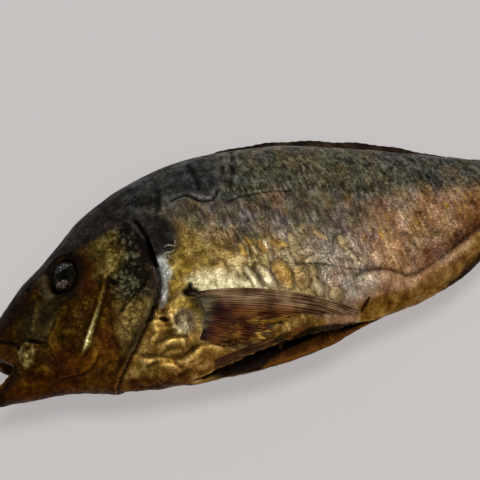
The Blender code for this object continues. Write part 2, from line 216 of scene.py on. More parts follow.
SEAM = (
    (150, -21.5), (158.9, -21.3), (167.6, -19), (177.7, -16.2), (187, -13.8), (198, -11), (206, -8),
    (206, -13), (192.2, -18.4), (185.7, -20.6), (177.6, -22.6), (167.8, -25), (159.5, -26.5), (150, -25),
)
FIN_ROOT = ((75.8, -13.5), (79, -13), (80.8, -19), (79.6, -27), (76.8, -26), (76.6, -20))
SILVER_LUMP = (
    (68.6, -17.4), (71.5, -15.8), (75, -17.2), (75.9, -20.6), (73.8, -23.8), (70.2, -24.2), (68.2, -21.4),
)
RUST = ((189, -9), (193, -4), (199, 0), (206, 2), (214, 0), (214, -14), (200, -14), (191, -14))
TAWNY = ((52, -10), (55, -15), (48, -23), (40, -30), (30, -26), (36, -21), (42, -15), (46, -9))
# The flank's edge over the belly slit, and how far in its lower lip is amber before painted shade blackens
# it
SLIT_TOP = (
    (66, -40.6), (72, -39), (82, -38.2), (90.5, -37.9), (98.6, -37.4), (107, -36.3), (115.5, -34.9),
    (123.3, -35.7), (129.3, -36.5), (135.5, -37), (140, -38),
)
LIP_INNER = (
    (74, -47), (84, -45.5), (91, -42.4), (98.3, -38.9), (106.9, -37.1), (115.6, -36), (124, -35.6),
    (130, -35.9), (140, -36),
)
# Below this line the belly is dark amber
BELLY_EDGE = ((36, -26.5), (44, -28.6), (53, -31.8), (61, -33.6), (67, -35.2), (76, -38.6), (90, -42))
GILL_WEDGE = ((64.9, 22.5), (66.4, 18), (68.4, 10.8), (69.0, 3), (65.6, 4.4), (64.4, 10.8), (64.4, 17))
GILL_SHUT_TOP = ((60, 33), (72, 33), (70.5, 19.6), (62, 19.6))
GILL_SHUT = (
    (64, 3), (69, 3.5), (70, -1), (69, -8), (64, -14), (58, -17), (57, -13), (62, -8), (63.5, -2),
)
ORBIT_CRESCENT = (
    (24.3, 17), (26.2, 19.4), (28.6, 18.4), (28.2, 14), (28, 10), (29.2, 6.4), (27, 6.4), (24.4, 11),
)
OLIVE_SPECKS = ((118, 47), (136, 44), (149, 27), (160, 24), (158, 12), (146, 14), (134, 22), (122, 30))
GOLDEN_ROWS = ((146, -8), (164, -2), (180, 0), (198, 5), (200, -3), (186, -6), (164, -11), (150, -14))
BACK_EDGE = (
    (60, 30), (77, 28), (84, 29.5), (92, 26), (98, 24), (104, 20), (117, 20), (134, 17), (160, 11),
    (185, 6), (250, -1),
)


def smooth(value):
    """0 to 1 with an easy start and end."""
    value = np.clip(value, 0.0, 1.0)
    return value * value * (3.0 - 2.0 * value)


def bell(value):
    """1 at 0 and falling off smoothly on both sides of it."""
    return np.exp(-(value**2))


def curve(points, steps=10):
    """Points close together on a smooth curve through the given ones."""
    points = np.array([points[0], *points, points[-1]], float)
    t = np.linspace(0, 1, steps, endpoint=False)[:, None]
    spans = [
        0.5 * (2 * q + (r - p) * t + (2 * p - 5 * q + 4 * r - s) * t**2 + (3 * q - p - 3 * r + s) * t**3)
        for p, q, r, s in zip(points, points[1:], points[2:], points[3:])
    ]
    return np.vstack([*spans, points[-1:]])


def level(line, along):
    """How far up the fish a line is, at places along the fish."""
    return np.interp(along, *np.array(line).T)


def from_path(spots, path):
    """How far each spot is from a path, on which side of it (1 is left), and at which share of it."""
    distance = np.full(len(spots), np.inf)
    side = np.zeros(len(spots))
    share = np.zeros(len(spots))
    for k, (start, end) in enumerate(zip(path, path[1:])):
        run = end - start
        t = np.clip(((spots - start) @ run) / max(run @ run, 1e-9), 0, 1)
        off = spots - start - t[:, None] * run
        length = np.hypot(off[:, 0], off[:, 1])
        nearer = length < distance
        distance[nearer] = length[nearer]
        side[nearer] = np.sign(run[0] * off[nearer, 1] - run[1] * off[nearer, 0])
        share[nearer] = (k + t[nearer]) / (len(path) - 1)
    return distance, side, share


def faded(share, rate):
    """1 along a path and fading to 0 at both of its ends, for spots at some share of it."""
    return smooth(rate * share) * smooth(rate * (1 - share))


def area(spots, corners, soft):
    """1 within a smooth closed outline and 0 outside it, blurred over soft millimetres."""
    path = curve((*corners, corners[0]))
    distance, _, _ = from_path(spots, path)
    x, y = spots[:, 0], spots[:, 1]
    crossings = np.zeros(len(spots), int)
    for (x0, y0), (x1, y1) in zip(path, path[1:]):
        if y0 != y1:
            crossings += ((y0 > y) != (y1 > y)) & (x < x0 + (x1 - x0) * (y - y0) / (y1 - y0))
    signed = np.where(crossings % 2 == 1, distance, -distance)
    return smooth(0.5 + signed / soft)


def lumps(places, size, seed, octaves=3, stretch=(1, 1, 1)):
    """Smooth noise from about -1 to 1, whose largest lumps are about size millimetres across."""
    spots = places / (size * np.array(stretch)) + 31.7 * seed
    return np.array([noise.fractal(spot, 1.0, 2.0, octaves) for spot in spots.tolist()])


def drifts(places, size, seed):
    """Two smooth noises for each place, to shift it along and up the fish with."""
    return np.stack([lumps(places, size, seed), lumps(places, size, seed + 1)], 1)


def oval(spots, middle, half_length, half_width, degrees):
    """0 at the middle of an oval, 1 on its rim and more outside it."""
    turn = math.radians(degrees)
    off = spots - np.array(middle)
    length = off[:, 0] * math.cos(turn) + off[:, 1] * math.sin(turn)
    width = off[:, 1] * math.cos(turn) - off[:, 0] * math.sin(turn)
    return np.hypot(length / half_length, width / half_width)


# ---------------------------------------------------------------- working on a mesh


def only(thing):
    """Selects one object and makes it the active one."""
    bpy.ops.object.select_all(action="DESELECT")
    thing.select_set(True)
    bpy.context.view_layer.objects.active = thing


def modify(thing, kind, **settings):
    """Adds a modifier and applies it."""
    only(thing)
    step = thing.modifiers.new(kind.title(), kind)
    for name, value in settings.items():
        setattr(step, name, value)
    bpy.ops.object.modifier_apply(modifier=step.name)


def named(thing, name):
    thing.name = name
    thing.data.name = name
    return thing


def copy_of(node, name):
    """A new object with a CAD node's mesh, whose faces are joined up."""
    thing = bpy.data.objects.new(name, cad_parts[node].data.copy())
    thing.data.name = name
    thing.data.materials.clear()
    bpy.context.scene.collection.objects.link(thing)
    only(thing)
    bpy.ops.object.mode_set(mode="EDIT")
    bpy.ops.mesh.select_all(action="SELECT")
    bpy.ops.mesh.remove_doubles(threshold=0.00001)
    bpy.ops.object.mode_set(mode="OBJECT")
    return thing


def read(thing, what="co"):
    """The places of a mesh's points, or their directions with what="normal", one row a point."""
    values = np.empty(3 * len(thing.data.vertices), np.float32)
    thing.data.vertices.foreach_get(what, values)
    return values.reshape(-1, 3).astype(float)


def write(thing, places):
    thing.data.vertices.foreach_set("co", places.astype(np.float32).ravel())
    thing.data.update()


def on_fish(places):
    """Places on the fish, in millimetres, of points in metres."""
    return (places - ZERO) / MM


def in_metres(places):
    return np.asarray(places, float) * MM + ZERO


def store(thing, name, values):
    """Keeps one number for each point of a mesh, for its material to read."""
    layer = thing.data.attributes.get(name) or thing.data.attributes.new(name, "FLOAT", "POINT")
    layer.data.foreach_set("value", np.asarray(values, np.float32))


def weigh(thing, name, weights):
    group = thing.vertex_groups.new(name=name)
    for k, weight in enumerate(weights):
        group.add([k], float(weight), "REPLACE")


def blurred(thing, values, times):
    """Values of a mesh's points, averaged with their neighbours a number of times."""
    edges = np.empty(2 * len(thing.data.edges), np.int32)
    thing.data.edges.foreach_get("vertices", edges)
    a, b = edges[::2], edges[1::2]
    count = np.bincount(edges, minlength=len(values)).astype(float)
    values = np.array(values, float).reshape(len(count), -1)
    for _ in range(times):
        total = np.empty_like(values)
        for column in range(values.shape[1]):
            total[:, column] = np.bincount(a, values[b, column], len(count))
            total[:, column] += np.bincount(b, values[a, column], len(count))
        values = 0.5 * values + 0.5 * total / count[:, None]
    return values.squeeze()


def tree_of(thing):
    return BVHTree.FromPolygons(
        [vertex.co for vertex in thing.data.vertices], [face.vertices for face in thing.data.polygons]
    )


# ---------------------------------------------------------------- the skin


def bare_skin():
    """The body's own solid, remade of small even faces, without its facets but with its cuts kept crisp."""
    thing = copy_of("body", "skin")
    tree = nearest(rim_points(thing.data))
    modify(thing, "REMESH", mode="VOXEL", voxel_size=SKIN_GRAIN * MM, use_smooth_shade=True)
    to_rim = np.array([tree.find(vertex.co)[2] for vertex in thing.data.vertices]) / MM
    weigh(thing, "even", smooth((to_rim - CRISP_RIM) / (SMOOTH_RIM - CRISP_RIM)))
    for passes, group in zip(SMOOTHING, ("even", "")):
        modify(thing, "SMOOTH", factor=0.5, iterations=passes, vertex_group=group)
    weigh(thing, "spare", smooth(0.5 - read(thing, "normal")[:, 2]))
    modify(thing, "DECIMATE", ratio=SKIN_TRIANGLES / (2 * len(thing.data.vertices)), vertex_group="spare")
    thing.vertex_groups.clear()
    return thing


def rim_points(mesh, sharp=40, apart=0.6 * MM):
    """Points along the edges of the cuts, where two faces meet at more than sharp degrees."""
    edit = bmesh.new()
    edit.from_mesh(mesh)
    rims = []
    for edge in edit.edges:
        if len(edge.link_faces) == 2 and edge.calc_face_angle() > math.radians(sharp):
            start, end = (vertex.co.copy() for vertex in edge.verts)
            steps = 1 + int((end - start).length / apart)
            rims += [start.lerp(end, k / steps) for k in range(steps + 1)]
    edit.free()
    return rims


def nearest(points):
    """A tree that finds the nearest of some points."""
    tree = KDTree(len(points))
    for k, point in enumerate(points):
        tree.insert(point, k)
    tree.balance()
    return tree


def towards(azimuth, elevation):
    """The direction that turns from the x axis by azimuth degrees and rises by elevation degrees."""
    azimuth, elevation = math.radians(azimuth), math.radians(elevation)
    flat = math.cos(elevation)
    return Vector((flat * math.cos(azimuth), flat * math.sin(azimuth), math.sin(elevation)))


def shelter(thing, tree, reach, rings):
    """How much of the space in front of each point is filled within reach millimetres, from 0 to 1."""
    ahead = Vector((0, 0, 1))
    ways = [ahead, *(towards(360 * k / count, 90 - tilt) for tilt, count in rings for k in range(count))]
    filled = np.empty(len(thing.data.vertices))
    for k, (place, face) in enumerate(zip(read(thing), read(thing, "normal"))):
        face = Vector(face)
        turn = ahead.rotation_difference(face)
        start = Vector(place) + face * 0.2 * MM
        met = sum(tree.ray_cast(start, turn @ way, reach * MM)[0] is not None for way in ways)
        filled[k] = met / len(ways)
    return filled


# Lines in the skin of both flanks. Left and right are as seen looking along each one from its first point:
# path, height on the left, half width there, height on the right, half width there
LINES = (
    (GILL_EDGE, -0.8, 3.5, 1.0, 5.0),
    (PREOPERCLE, -0.8, 1.5, 0.8, 1.3),
    (BONE_LINE, -0.5, 0.6, -0.2, 1.6),
    (OPERCLE_FOLD, 0.5, 2.5, -0.2, 1.5),
    (CHEEK_EDGE, 0.4, 1.8, -0.4, 0.8),
    (SUBORBITAL_FRONT, 0.6, 1.0, 0.6, 0.5),
    (SUBORBITAL_REAR, 0.1, 1.4, -0.3, 1.0),
    (LOWER_LID, 0.2, 0.8, 0.6, 1.0),
    (LIP_GROOVE, 0.0, 1.0, -0.9, 0.9),
    (JAW_STREAK, 0.4, 0.9, 0.2, 0.9),
    (BELLY_FOLD, -0.5, 1.1, -0.8, 1.0),
    (LOWER_FOLD, -0.5, 0.7, -0.5, 0.7),
    (THROAT_FOLD, -0.4, 0.8, -0.4, 0.8),
    (REAR_CREASE, -0.35, 1.6, -0.6, 1.3),
)

# Puffy bands beside some of the lines: path, side of it (1 is left), height, width
BANDS = (
    (BELLY_FOLD, -1, 0.9, 5),
    (THROAT_FOLD, -1, 0.7, 4),
    (REAR_CREASE, -1, 1.5, 8),
    (REAR_CREASE, 1, 0.5, 8),
    (CHEEK_EDGE, 1, 0.4, 5),
)

# Marks of the left flank only: path, depth, half width
CRACKS = (
    (BACK_CRACK, 0.9, 0.8),
    (FLANK_CRACK, 0.4, 0.5),
    (BELLY_CRACK, 0.25, 0.35),
    (BLISTER_FOLD, 0.3, 0.35),
    *((furrow, 0.7, 1.3) for furrow in FURROWS),
)


def ragged(spots, places):
    """Spots shifted about a little, which makes an even outline an uneven one."""
    return spots + 0.55 * drifts(places, 5, 31)


# Puffy and wrinkled skin: outline, softness, height, size of its lumps, seed, how they are stretched
WRINKLES = (
    (BELLY_SKIN, 6, 0.85, 7, 4, (1.5, 0.9, 1)),
    (BELLY_SKIN, 6, 0.15, 2.4, 5, (1, 1, 1)),
    (PECTORAL_BASE, 5, 0.9, 5.5, 6, (1, 1.3, 1)),
    (THROAT_WRINKLES, 4, 0.7, 4.2, 7, (1.7, 0.8, 1)),
    (REAR_BELLY, 4, 0.35, 4.5, 10, (1, 1, 1)),
)


def relief(spots, places, left):
    """Height in millimetres of all that stands out of the bare skin or is sunk into it.

    spots are places along and up the fish, places have the height too, and left is 1 on the left flank.
    """
    calm = 1 - 0.8 * area(spots, CALM_BACK, 10)
    height = calm * (0.22 * lumps(places, 8, 2, 2) + 0.10 * lumps(places, 3, 3))
    height += 0.4 * lumps(places, 26, 1, 2)

    for path, left_height, left_width, right_height, right_width in LINES:
        distance, side, share = from_path(spots, curve(path))
        leftward = left_height * bell(distance / left_width)
        rightward = right_height * bell(distance / right_width)
        height += faded(share, 10) * np.where(side > 0, leftward, rightward)
    for path, which, lift, width in BANDS:
        distance, side, share = from_path(spots, curve(path))
        band = np.sin(np.pi * np.clip(distance / width, 0, 1)) * faded(share, 6)
        height += lift * band * (side == which)
    for *shape, depth in PITS:
        height -= depth * smooth(1.3 - oval(spots, *shape))
    height += 0.6 * area(spots, MAXILLA, 2.2)
    height += 0.5 * bell((oval(spots, *EYE_RIM) - 1.22) / 0.13)

    marks = np.zeros(len(spots))
    for path, depth, width in CRACKS:
        distance, _, _ = from_path(spots, curve(path))
        marks -= depth * bell(distance / width)
    uneven = ragged(spots, places)
    for *shape, lift, _ in BLISTERS:
        marks += 0.7 * lift * np.sqrt(np.clip(1 - oval(uneven, *shape) ** 2, 0, 1))
    height += marks * left

    for corners, soft, lift, size, seed, stretch in WRINKLES:
        height += lift * area(spots, corners, soft) * lumps(places, size, seed, 2, stretch)
    height += 0.5 * area(spots, PECTORAL_BASE, 5)
    back = smooth((spots[:, 1] - 16) / 12)
    height += (0.22 + 0.2 * back) * calm * lumps(places, 4, 8, stretch=(1, 3.5, 1))
    speckled = 0.3 + 0.7 * area(spots, OPERCLE_UPPER, 6)
    height += 0.18 * speckled * lumps(places, 2.2, 9, 2) * smooth((66 - spots[:, 0]) / 4)
    return height * (1 - 0.7 * area(spots, UNDER_FIN, 4))


def slit_shade(spots, heights, facing):
    """Painted shade in the belly slit: black from the flank's edge over it to the amber of its lower lip.
    """
    along, up = spots.T
    over = level(SLIT_TOP, along) - up
    inward = up - level(LIP_INNER, along)
    depth = np.where(heights > MIDDLE_HEIGHT + 1.5, over, np.where(facing[:, 2] > 0.2, inward, -9))
    return smooth(0.5 + depth / 0.9) * smooth((along - 66) / 14) * smooth((140 - along) / 4)


# Grooves and folds with painted shade: path, half width, darkness, 1 if it is even and 0 if it is patchy
SHADED_LINES = (
    (JAW_RIM, 1.5, 0.85, 1),
    (LIP_GROOVE, 0.9, 0.7, 1),
    (BONE_LINE, 0.7, 0.3, 0),
    (GILL_LINE, 1.6, 0.9, 1),
    (BELLY_FOLD, 0.7, 0.45, 0),
    (LOWER_FOLD, 0.6, 0.5, 0),
    (THROAT_FOLD, 0.6, 0.5, 0),
    (REAR_CREASE, 0.8, 0.55, 0),
)


def darkened_places(spots, places, left):
    """How dark the skin is made, 0 to 1: blots and cracks, and painted shade in grooves, pits and openings.
    """
    patchy = 0.3 + 0.7 * smooth(0.5 + 1.5 * lumps(places, 7, 16))
    blots = 0.75 * area(spots, NAPE, 14) * smooth((lumps(places, 7, 25) - 0.02) / 0.35)
    # Dark blots on the nape, a darker fin root, and painted shade in the open gill's wedge
    dark = [blots, 0.6 * left * area(spots, FIN_ROOT, 2.5), area(spots, GILL_WEDGE, 1.2)]
    for path, width, darkness, even in SHADED_LINES:
        distance, _, share = from_path(spots, curve(path))
        dark.append(darkness * faded(share, 10) * (1 if even else patchy) * bell(distance / width))
    # Painted shade in the pits
    for *shape, _ in PITS:
        dark.append(smooth((1.5 - oval(spots, *shape)) / 0.7))
    for path, _, width in CRACKS:
        distance, _, _ = from_path(spots, curve(path))
        dark.append(0.75 * left * patchy * bell(distance / (1.2 * width)))
    # Painted shade in the eye's socket, all but its pale crescent
    socket = 0.93 * smooth((1.5 - oval(spots, *EYE_RIM)) / 0.24)
    return np.maximum.reduce([*dark, socket * (1 - area(spots, ORBIT_CRESCENT, 1.0))])


def shut_gill(thing, inside):
    """Closes the gill opening below its dark wedge, where the gill cover lies on the shoulder."""
    places = on_fish(read(thing))
    near, around = (
        np.maximum(area(places[:, :2], GILL_SHUT, soft), area(places[:, :2], GILL_SHUT_TOP, soft))
        * (places[:, 2] > MIDDLE_HEIGHT)
        for soft in (2, 12)
    )
    rims = np.flatnonzero((inside < 0.12) & (around > 0))
    tree = nearest([(*places[k, :2], 0) for k in rims])
    for k in np.flatnonzero(near * inside > 0.1):
        beside = [rims[found[1]] for found in tree.find_n((*places[k, :2], 0), 12)]
        sunk = places[beside, 2].mean() - 0.5
        places[k, 2] += smooth(2 * near[k] * inside[k]) * (sunk - places[k, 2])
    write(thing, in_metres(places))


def open_jaw(thing):
    """Draws the rim of the lower jaw down towards its tip, which widens the gape."""
    places = on_fish(read(thing))
    along, up = places[:, 0], places[:, 1]
    under_lips = up < -12.6 + 0.1 * (along - 7.8)
    places[:, 1] -= JAW_DROP * under_lips * smooth((9 - along) / 9) * smooth((up + 24) / 7)
    write(thing, in_metres(places))


def sculpted_skin():
    """The skin with its relief and all that its material reads, and the tree of its smooth form."""
    thing = bare_skin()
    bare_tree = tree_of(thing)
    inside = blurred(thing, shelter(thing, bare_tree, *GILL_LOOK), 2)
    shut_gill(thing, inside)
    open_jaw(thing)
    places, facing = on_fish(read(thing)), read(thing, "normal")
    spots = places[:, :2]
    left = smooth(0.5 + facing[:, 2] / 0.5)
    outside = smooth((0.85 - inside) / 0.3)
    height = relief(spots, places, left) * (0.15 + 0.85 * outside)
    moved = places + facing * height[:, None]
    moved[:, 2] = np.maximum(moved[:, 2], OVER_TABLE)
    write(thing, in_metres(moved))

    # How hollow each point is: the material paints shade in hollows and a highlight on what stands out
    hollow = ((blurred(thing, moved, 6) - moved) * read(thing, "normal")).sum(1)
    store(thing, "hollow", smooth(0.5 + blurred(thing, hollow, 1) / 0.7))
    # How shut in each point is, which the material paints as shade, less so on the pale strip behind the
    # gill
    sheltered = blurred(thing, shelter(thing, tree_of(thing), *SHADE_LOOK), 1)
    store(thing, "shelter", sheltered * (1 - 0.7 * left * area(spots, CLEITHRUM, 3)))
    astray = spots + 0.3 * drifts(places, 3, 14)
    # Painted shade: black in the belly slit and in the enclosed insides of the body
    slit = np.maximum(slit_shade(astray, places[:, 2], facing), smooth((inside - 0.5) / 0.2))
    store(thing, "soot_and_shade", np.maximum(darkened_places(astray, places, left), slit))
    for name, values in zones(spots, places, left).items():
        store(thing, name, values)
    thing.data.shade_smooth()
    return thing, bare_tree


# Colour zones and patterns that fill one outline: name, outline, softness, part of the fish, strength
PATCHES = (
    ("ground", BLISTER_GROUND, 6, "left", 1),
    ("ashen", PALE_GROUND, 14, "left", 1),
    # silvery skin with a painted highlight
    ("silver", SILVER_AND_HIGHLIGHT, 6, "left trunk", 1),
    ("root", SILVER_LUMP, 3, "trunk", 1),
    ("pink", PINK_FLESH, 4, "trunk", 0.45),
    ("cleithrum", CLEITHRUM, 3, "trunk", 0.95),
    ("speckle", OPERCLE_UPPER, 6, "head", 1),
    ("crown_gold", CROWN_GOLD, 6, "head", 1),
    ("bone", OPERCLE_GOLD, 5, "head", 1),
    ("plate", SUBORBITAL_PLATE, 4, "head", 1),
    ("tawny", TAWNY, 6, "head", 1),
    ("snout", SNOUT, 5, "head", 1),
    ("blotch", BLOTCH, 5.5, "all", 1),
    ("crackle", CRACKLE, 7, "left", 1),
    ("specks", OLIVE_SPECKS, 12, "left", 1),
    ("dashes", GOLDEN_ROWS, 12, "left trunk", 1),
)
# Zones that hide the silver of the scales
DULL_ZONES = ("blotch", "crown", "snout", "flap", "belly_edge")


def zones(spots, places, left):
    """How much of each colour zone and pattern every point of the skin has, from 0 to 1."""
    drift = drifts(places, 9, 11)
    true_spots = spots
    spots = spots + 1.6 * drift
    along, up = spots.T
    gill, gill_side, _ = from_path(true_spots, curve((*GILL_EDGE[::-1], (64, 60))))
    trunk = smooth(0.5 - gill * gill_side / 1.5)
    head = 1 - trunk
    parts = {"all": 1, "head": head, "trunk": trunk, "left": left, "left trunk": left * trunk}
    found = {
        name: strength * parts[part] * area(spots, corners, soft)
        for name, corners, soft, part, strength in PATCHES
    }

    over_edge = up + 3 * lumps(places, 12, 13) - level(BACK_EDGE, along)
    back = smooth(0.5 + over_edge / (9 + 5 * smooth((along - 130) / 40)))
    copper = smooth((along - 108 - 1.1 * (up + 28)) / 42)
    ridge, _, share = from_path(true_spots, curve(PREOPERCLE))
    # The preopercle's ridge gets a painted highlight, brightest towards its lower end
    bright = smooth(share / 0.85) ** 3 * smooth((0.93 - share) * 8)
    blister, pale, rims = np.zeros((3, len(spots)))
    uneven = ragged(true_spots, places)
    for *shape, _, paleness in BLISTERS:
        rim = oval(uneven, *shape)
        inside = smooth((1.08 - rim) / 0.3)
        blister = np.maximum(blister, inside)
        pale = np.maximum(pale, inside * paleness)
        rims = np.maximum(rims, bell((rim - 1.07) / 0.08))
    belly, root = area(spots, BELLY_GOLD, 5), area(spots, PECTORAL_BASE, 4)
    puffy = np.maximum(belly, root)
    nape = area(spots, NAPE, 14)
    olive = area(spots, REAR_BELLY, 3) * smooth((226 - along) / 26)
    seam = trunk * area(spots, SEAM, 4) * smooth((along - 155) / 18)
    by_slit = smooth((4.5 - np.abs(up - level(SLIT_TOP, along))) / 3)
    below = level(BELLY_EDGE, along) - up
    plain = trunk * (1 - area(spots, BLOTCH, 4)) * (1 - 0.6 * area(spots, SHOULDER_GOLD, 8))
    plain *= (1 - 0.8 * seam) * (1 - 0.75 * blister * left) * (1 - 0.85 * np.maximum(puffy, olive))
    found |= {
        "back": back * trunk,
        "copper": trunk * (1 - back) * copper,
        "rust": trunk * np.maximum(area(spots, RUST, 8), 0.8 * smooth((along - 216) / 18)),
        "gold": trunk * np.maximum(area(spots, SHOULDER_GOLD, 9), root),
        "belly": trunk * np.maximum(belly, area(spots, BEHIND_FIN, 3)),
        "belly_low": 0.85 * trunk * belly * smooth((-31 - up + 3 * drift[:, 0]) / 5),
        "seam": 0.9 * seam,
        "belly_edge": 0.95 * trunk * smooth((below + 1) / 2.6) * smooth((102 - along) / 14),
        # darker beside the rim of the belly slit
        "dark_by_slit": 0.85 * trunk * by_slit * smooth((along - 72) / 10) * smooth((122 - along) / 12),
        "olive": olive,
        "green_back": 0.65 * trunk * back * smooth((along - 100) / 25) * smooth((192 - along) / 30),
        "nape": 0.65 * trunk * back * nape,
        "flap": area(true_spots, LOWER_FLAP, 1.0) * smooth((MIDDLE_HEIGHT + 2 - places[:, 2]) / 1.5),
        "blister": 0.92 * blister * left,
        "pale": 0.85 * pale * left,
        "rims": 0.7 * rims * left,
        "head": head,
        "margin": 0.85 * head * bell(gill / 2.6),
        "amber": head * smooth((-15 - up) / 7) * smooth((56 - along) / 22),
        "russet": head * np.maximum.reduce([area(spots, corners, 4) for corners in RUSSET]),
        "lip": head * area(true_spots, UPPER_LIP, 1.5),
        "maxilla": head * area(true_spots, MAXILLA, 2.0),
        "ridge": head * bright * bell(ridge / (0.25 + 0.6 * bright)),
        "crown": (1 - smooth((along - 62) / 8)) * (1 - area(spots, HEAD_BELOW_TOP, 5)),
        "crescent": area(true_spots, ORBIT_CRESCENT, 1.2),
        "scales": trunk * (0.4 + 0.6 * smooth((along - 135) / 40)) * smooth((up + 30) / 10),
        "varied": plain * (1 - 0.45 * back) * smooth((up + 34) / 14) * (1 - 0.8 * nape),
        "streaks": plain * (1 - 0.6 * nape) * (1 - 0.4 * copper * (1 - back)),
        "mottled": head * 0.45 + 0.55 * found["speckle"],
        "puffy": puffy,
    }
    metal = 0.35 * trunk
    for name, *_, shine in SKIN_ZONES:
        metal = np.maximum(metal, shine * found[name])
    for name in DULL_ZONES:
        metal *= 1 - found[name]
    return found | {"metal": metal}


# ---------------------------------------------------------------- fins, eyes and scraps


def draped(tree, spots, side, lift):
    """Places lift millimetres above the smooth skin, on the left flank (side 1) or the right one (-1)."""
    found = []
    for (along, up), over in zip(spots, lift):
        start = Vector(in_metres((along, up, MIDDLE_HEIGHT + 60 * side)))
        point, normal, _, _ = tree.ray_cast(start, Vector((0, 0, -side)))
        if point is None:
            beside = in_metres((along, up, MIDDLE_HEIGHT + 5 * side))
            point, normal, _, _ = tree.find_nearest(Vector(beside))
        found.append(on_fish(np.array(point)) + np.array(normal) * over)
    found = np.array(found)
    found[:, 2] = np.maximum(found[:, 2], 0.3)
    return found


def sheet(name, columns, rows, place, rays, thin, thick):
    """A grid that place() puts in space, thin millimetres thick between its rays() and thick along them."""
    bpy.ops.mesh.primitive_grid_add(x_subdivisions=columns, y_subdivisions=rows, size=1)
    thing = named(bpy.context.object, name)
    along, across = (read(thing)[:, :2] + 0.5).T
    write(thing, in_metres(place(along, across)))
    ridges = rays(along, across)
    for attribute, values in (("ray", ridges), ("along", along), ("across", across)):
        store(thing, attribute, values)
    weigh(thing, "ray", ridges)
    settings = {"thickness": thick * MM, "thickness_vertex_group": thin / thick, "vertex_group": "ray"}
    modify(thing, "SOLIDIFY", offset=0, use_even_offset=False, **settings)
    thing.vertex_groups.clear()
    thing.data.shade_smooth()
    return thing


def along_path(share, points):
    """Where each share of a path is, from 0 at its first point to 1 at its last one."""
    points = np.array(points, float)
    return np.stack([np.interp(share, np.linspace(0, 1, len(points)), column) for column in points.T], 1)


def between(curves, along, across):
    """Spots on a fin: curves are its root, bend and tip, each a row of points across it."""
    root, bend, tip = (along_path(across, points) for points in curves)
    t = along[:, None]
    return root * (1 - t) ** 2 + 2 * bend * t * (1 - t) + tip * t**2


# Shapes of fins: the root, the bend and the tips, from the front ray to the rear one
PECTORAL = (
    ((76, -10.8), (78.2, -12.2), (79.6, -14.5), (79.6, -18), (78.4, -22), (76.6, -25), (74.4, -27.3)),
    ((103.9, -14.4), (104.4, -18), (104.5, -21.5), (95.3, -24.8), (89.6, -27), (84, -29), (79.2, -29.9)),
    (
        (140.2, -36.4), (138, -36.3), (131.5, -34.9), (113.5, -30.2), (104, -31.4), (95, -34.8),
        (83.5, -32.4),
    ),
)
PELVIC = (
    ((76.0, -35.0), (76.2, -35.9), (76.0, -36.8)),
    ((90, -34.6), (91, -35.9), (90, -37.2)),
    ((110.4, -34.2), (109.8, -35.0), (106, -36.0)),
)
# Fins that lie folded on the flanks: name, shape, number of rays, height over the skin, raggedness of the
# tips, buckling, depth of the root in the skin, soot
FOLDED_FINS = (
    ("pectoral", PECTORAL, 34, 0.9, 1.0, 0.25, 0.9, 0.0),
    ("pelvic", PELVIC, 7, 0.5, 0.0, 0.04, 1.6, 0.5),
)
RIGHT_FIN_SHIFT = 3  # how much further up its flank a fin of the right side lies
# Fins folded down along an edge of the body: name, node, start and end along it, height, 1 for the back and
# -1 for the belly, number of rays, slant
EDGE_FINS = (
    ("dorsal_rays", "dorsal_fin", (88, 212), 2.2, 1, 34, 5),
    ("anal_rays", "anal_fin", (170, 214), 0.2, -1, 12, 4),
)
TAIL_ROOT = (248.5, 2.2, 10.9)  # its middle: along the fish, up it and over the table
TAIL_LENGTH = 50
TAIL_RAYS = 22


def ray_pattern(across, count):
    """1 along the middle of each ray and 0 between two rays."""
    return np.cos(np.pi * (across * count - 0.5)) ** 2


def folded_fin(name, side, tree, curves, count, lift, raggedness, buckling, sink, soot_and_shade):
    """A fin that lies folded on the flank."""

    def place(along, across):
        ray = ray_pattern(across, count)
        index = np.floor(np.clip(across * count, 0, count - 0.01))
        uneven = raggedness * (0.06 * np.sin(index * 2.4 + 1) + 0.04 * np.sin(index * 5.1))
        reach = 0.95 - 0.05 * (1 - ray) + uneven * smooth((across - 0.45) / 0.2)
        spots = between(curves, along * reach, across)
        spots[:, 1] += 0.25 * np.sin(along * 5 + index * 1.9) * along
        if side < 0:
            spots[:, 1] += RIGHT_FIN_SHIFT
        buckle = buckling * np.sin(index * 1.7) + 0.1 * np.sin(along * 9 + index)
        over = lift + 0.22 * ray + buckle * np.minimum(4 * along, 1) - sink * smooth(1 - along / 0.12)
        return draped(tree, spots, side, over)

    thing = sheet(name, 90, count * 5, place, lambda along, across: ray_pattern(across, count), 0.2, 0.5)
    if soot_and_shade:
        blacken(thing, soot_and_shade)
    return thing


def blacken(thing, soot_and_shade):
    """Soots a fin, and moves what its material reads past the scaly root and the pale front rays."""
    for name, least in (("along", 0.2), ("across", 0.5)):
        values = np.empty(len(thing.data.vertices), np.float32)
        thing.data.attributes[name].data.foreach_get("value", values)
        store(thing, name, least + (1 - least) * values)
    store(thing, "soot_and_shade", np.full(len(thing.data.vertices), soot_and_shade))


def outline(thing, end):
    """How far up the fish its back (end 1) or belly (end -1) is, and how high, by places along it."""
    places = on_fish(read(thing))
    steps = np.arange(60, 250, 1.0)
    edge = []
    for step in steps:
        near = places[np.abs(places[:, 0] - step) < 0.8]
        edge.append(near[np.argsort(-end * near[:, 1])][:6, 1:].mean(0))
    padded = np.pad(edge, ((3, 3), (0, 0)), mode="edge")
    return steps, *(np.convolve(values, np.ones(7) / 7, mode="valid") for values in padded.T)


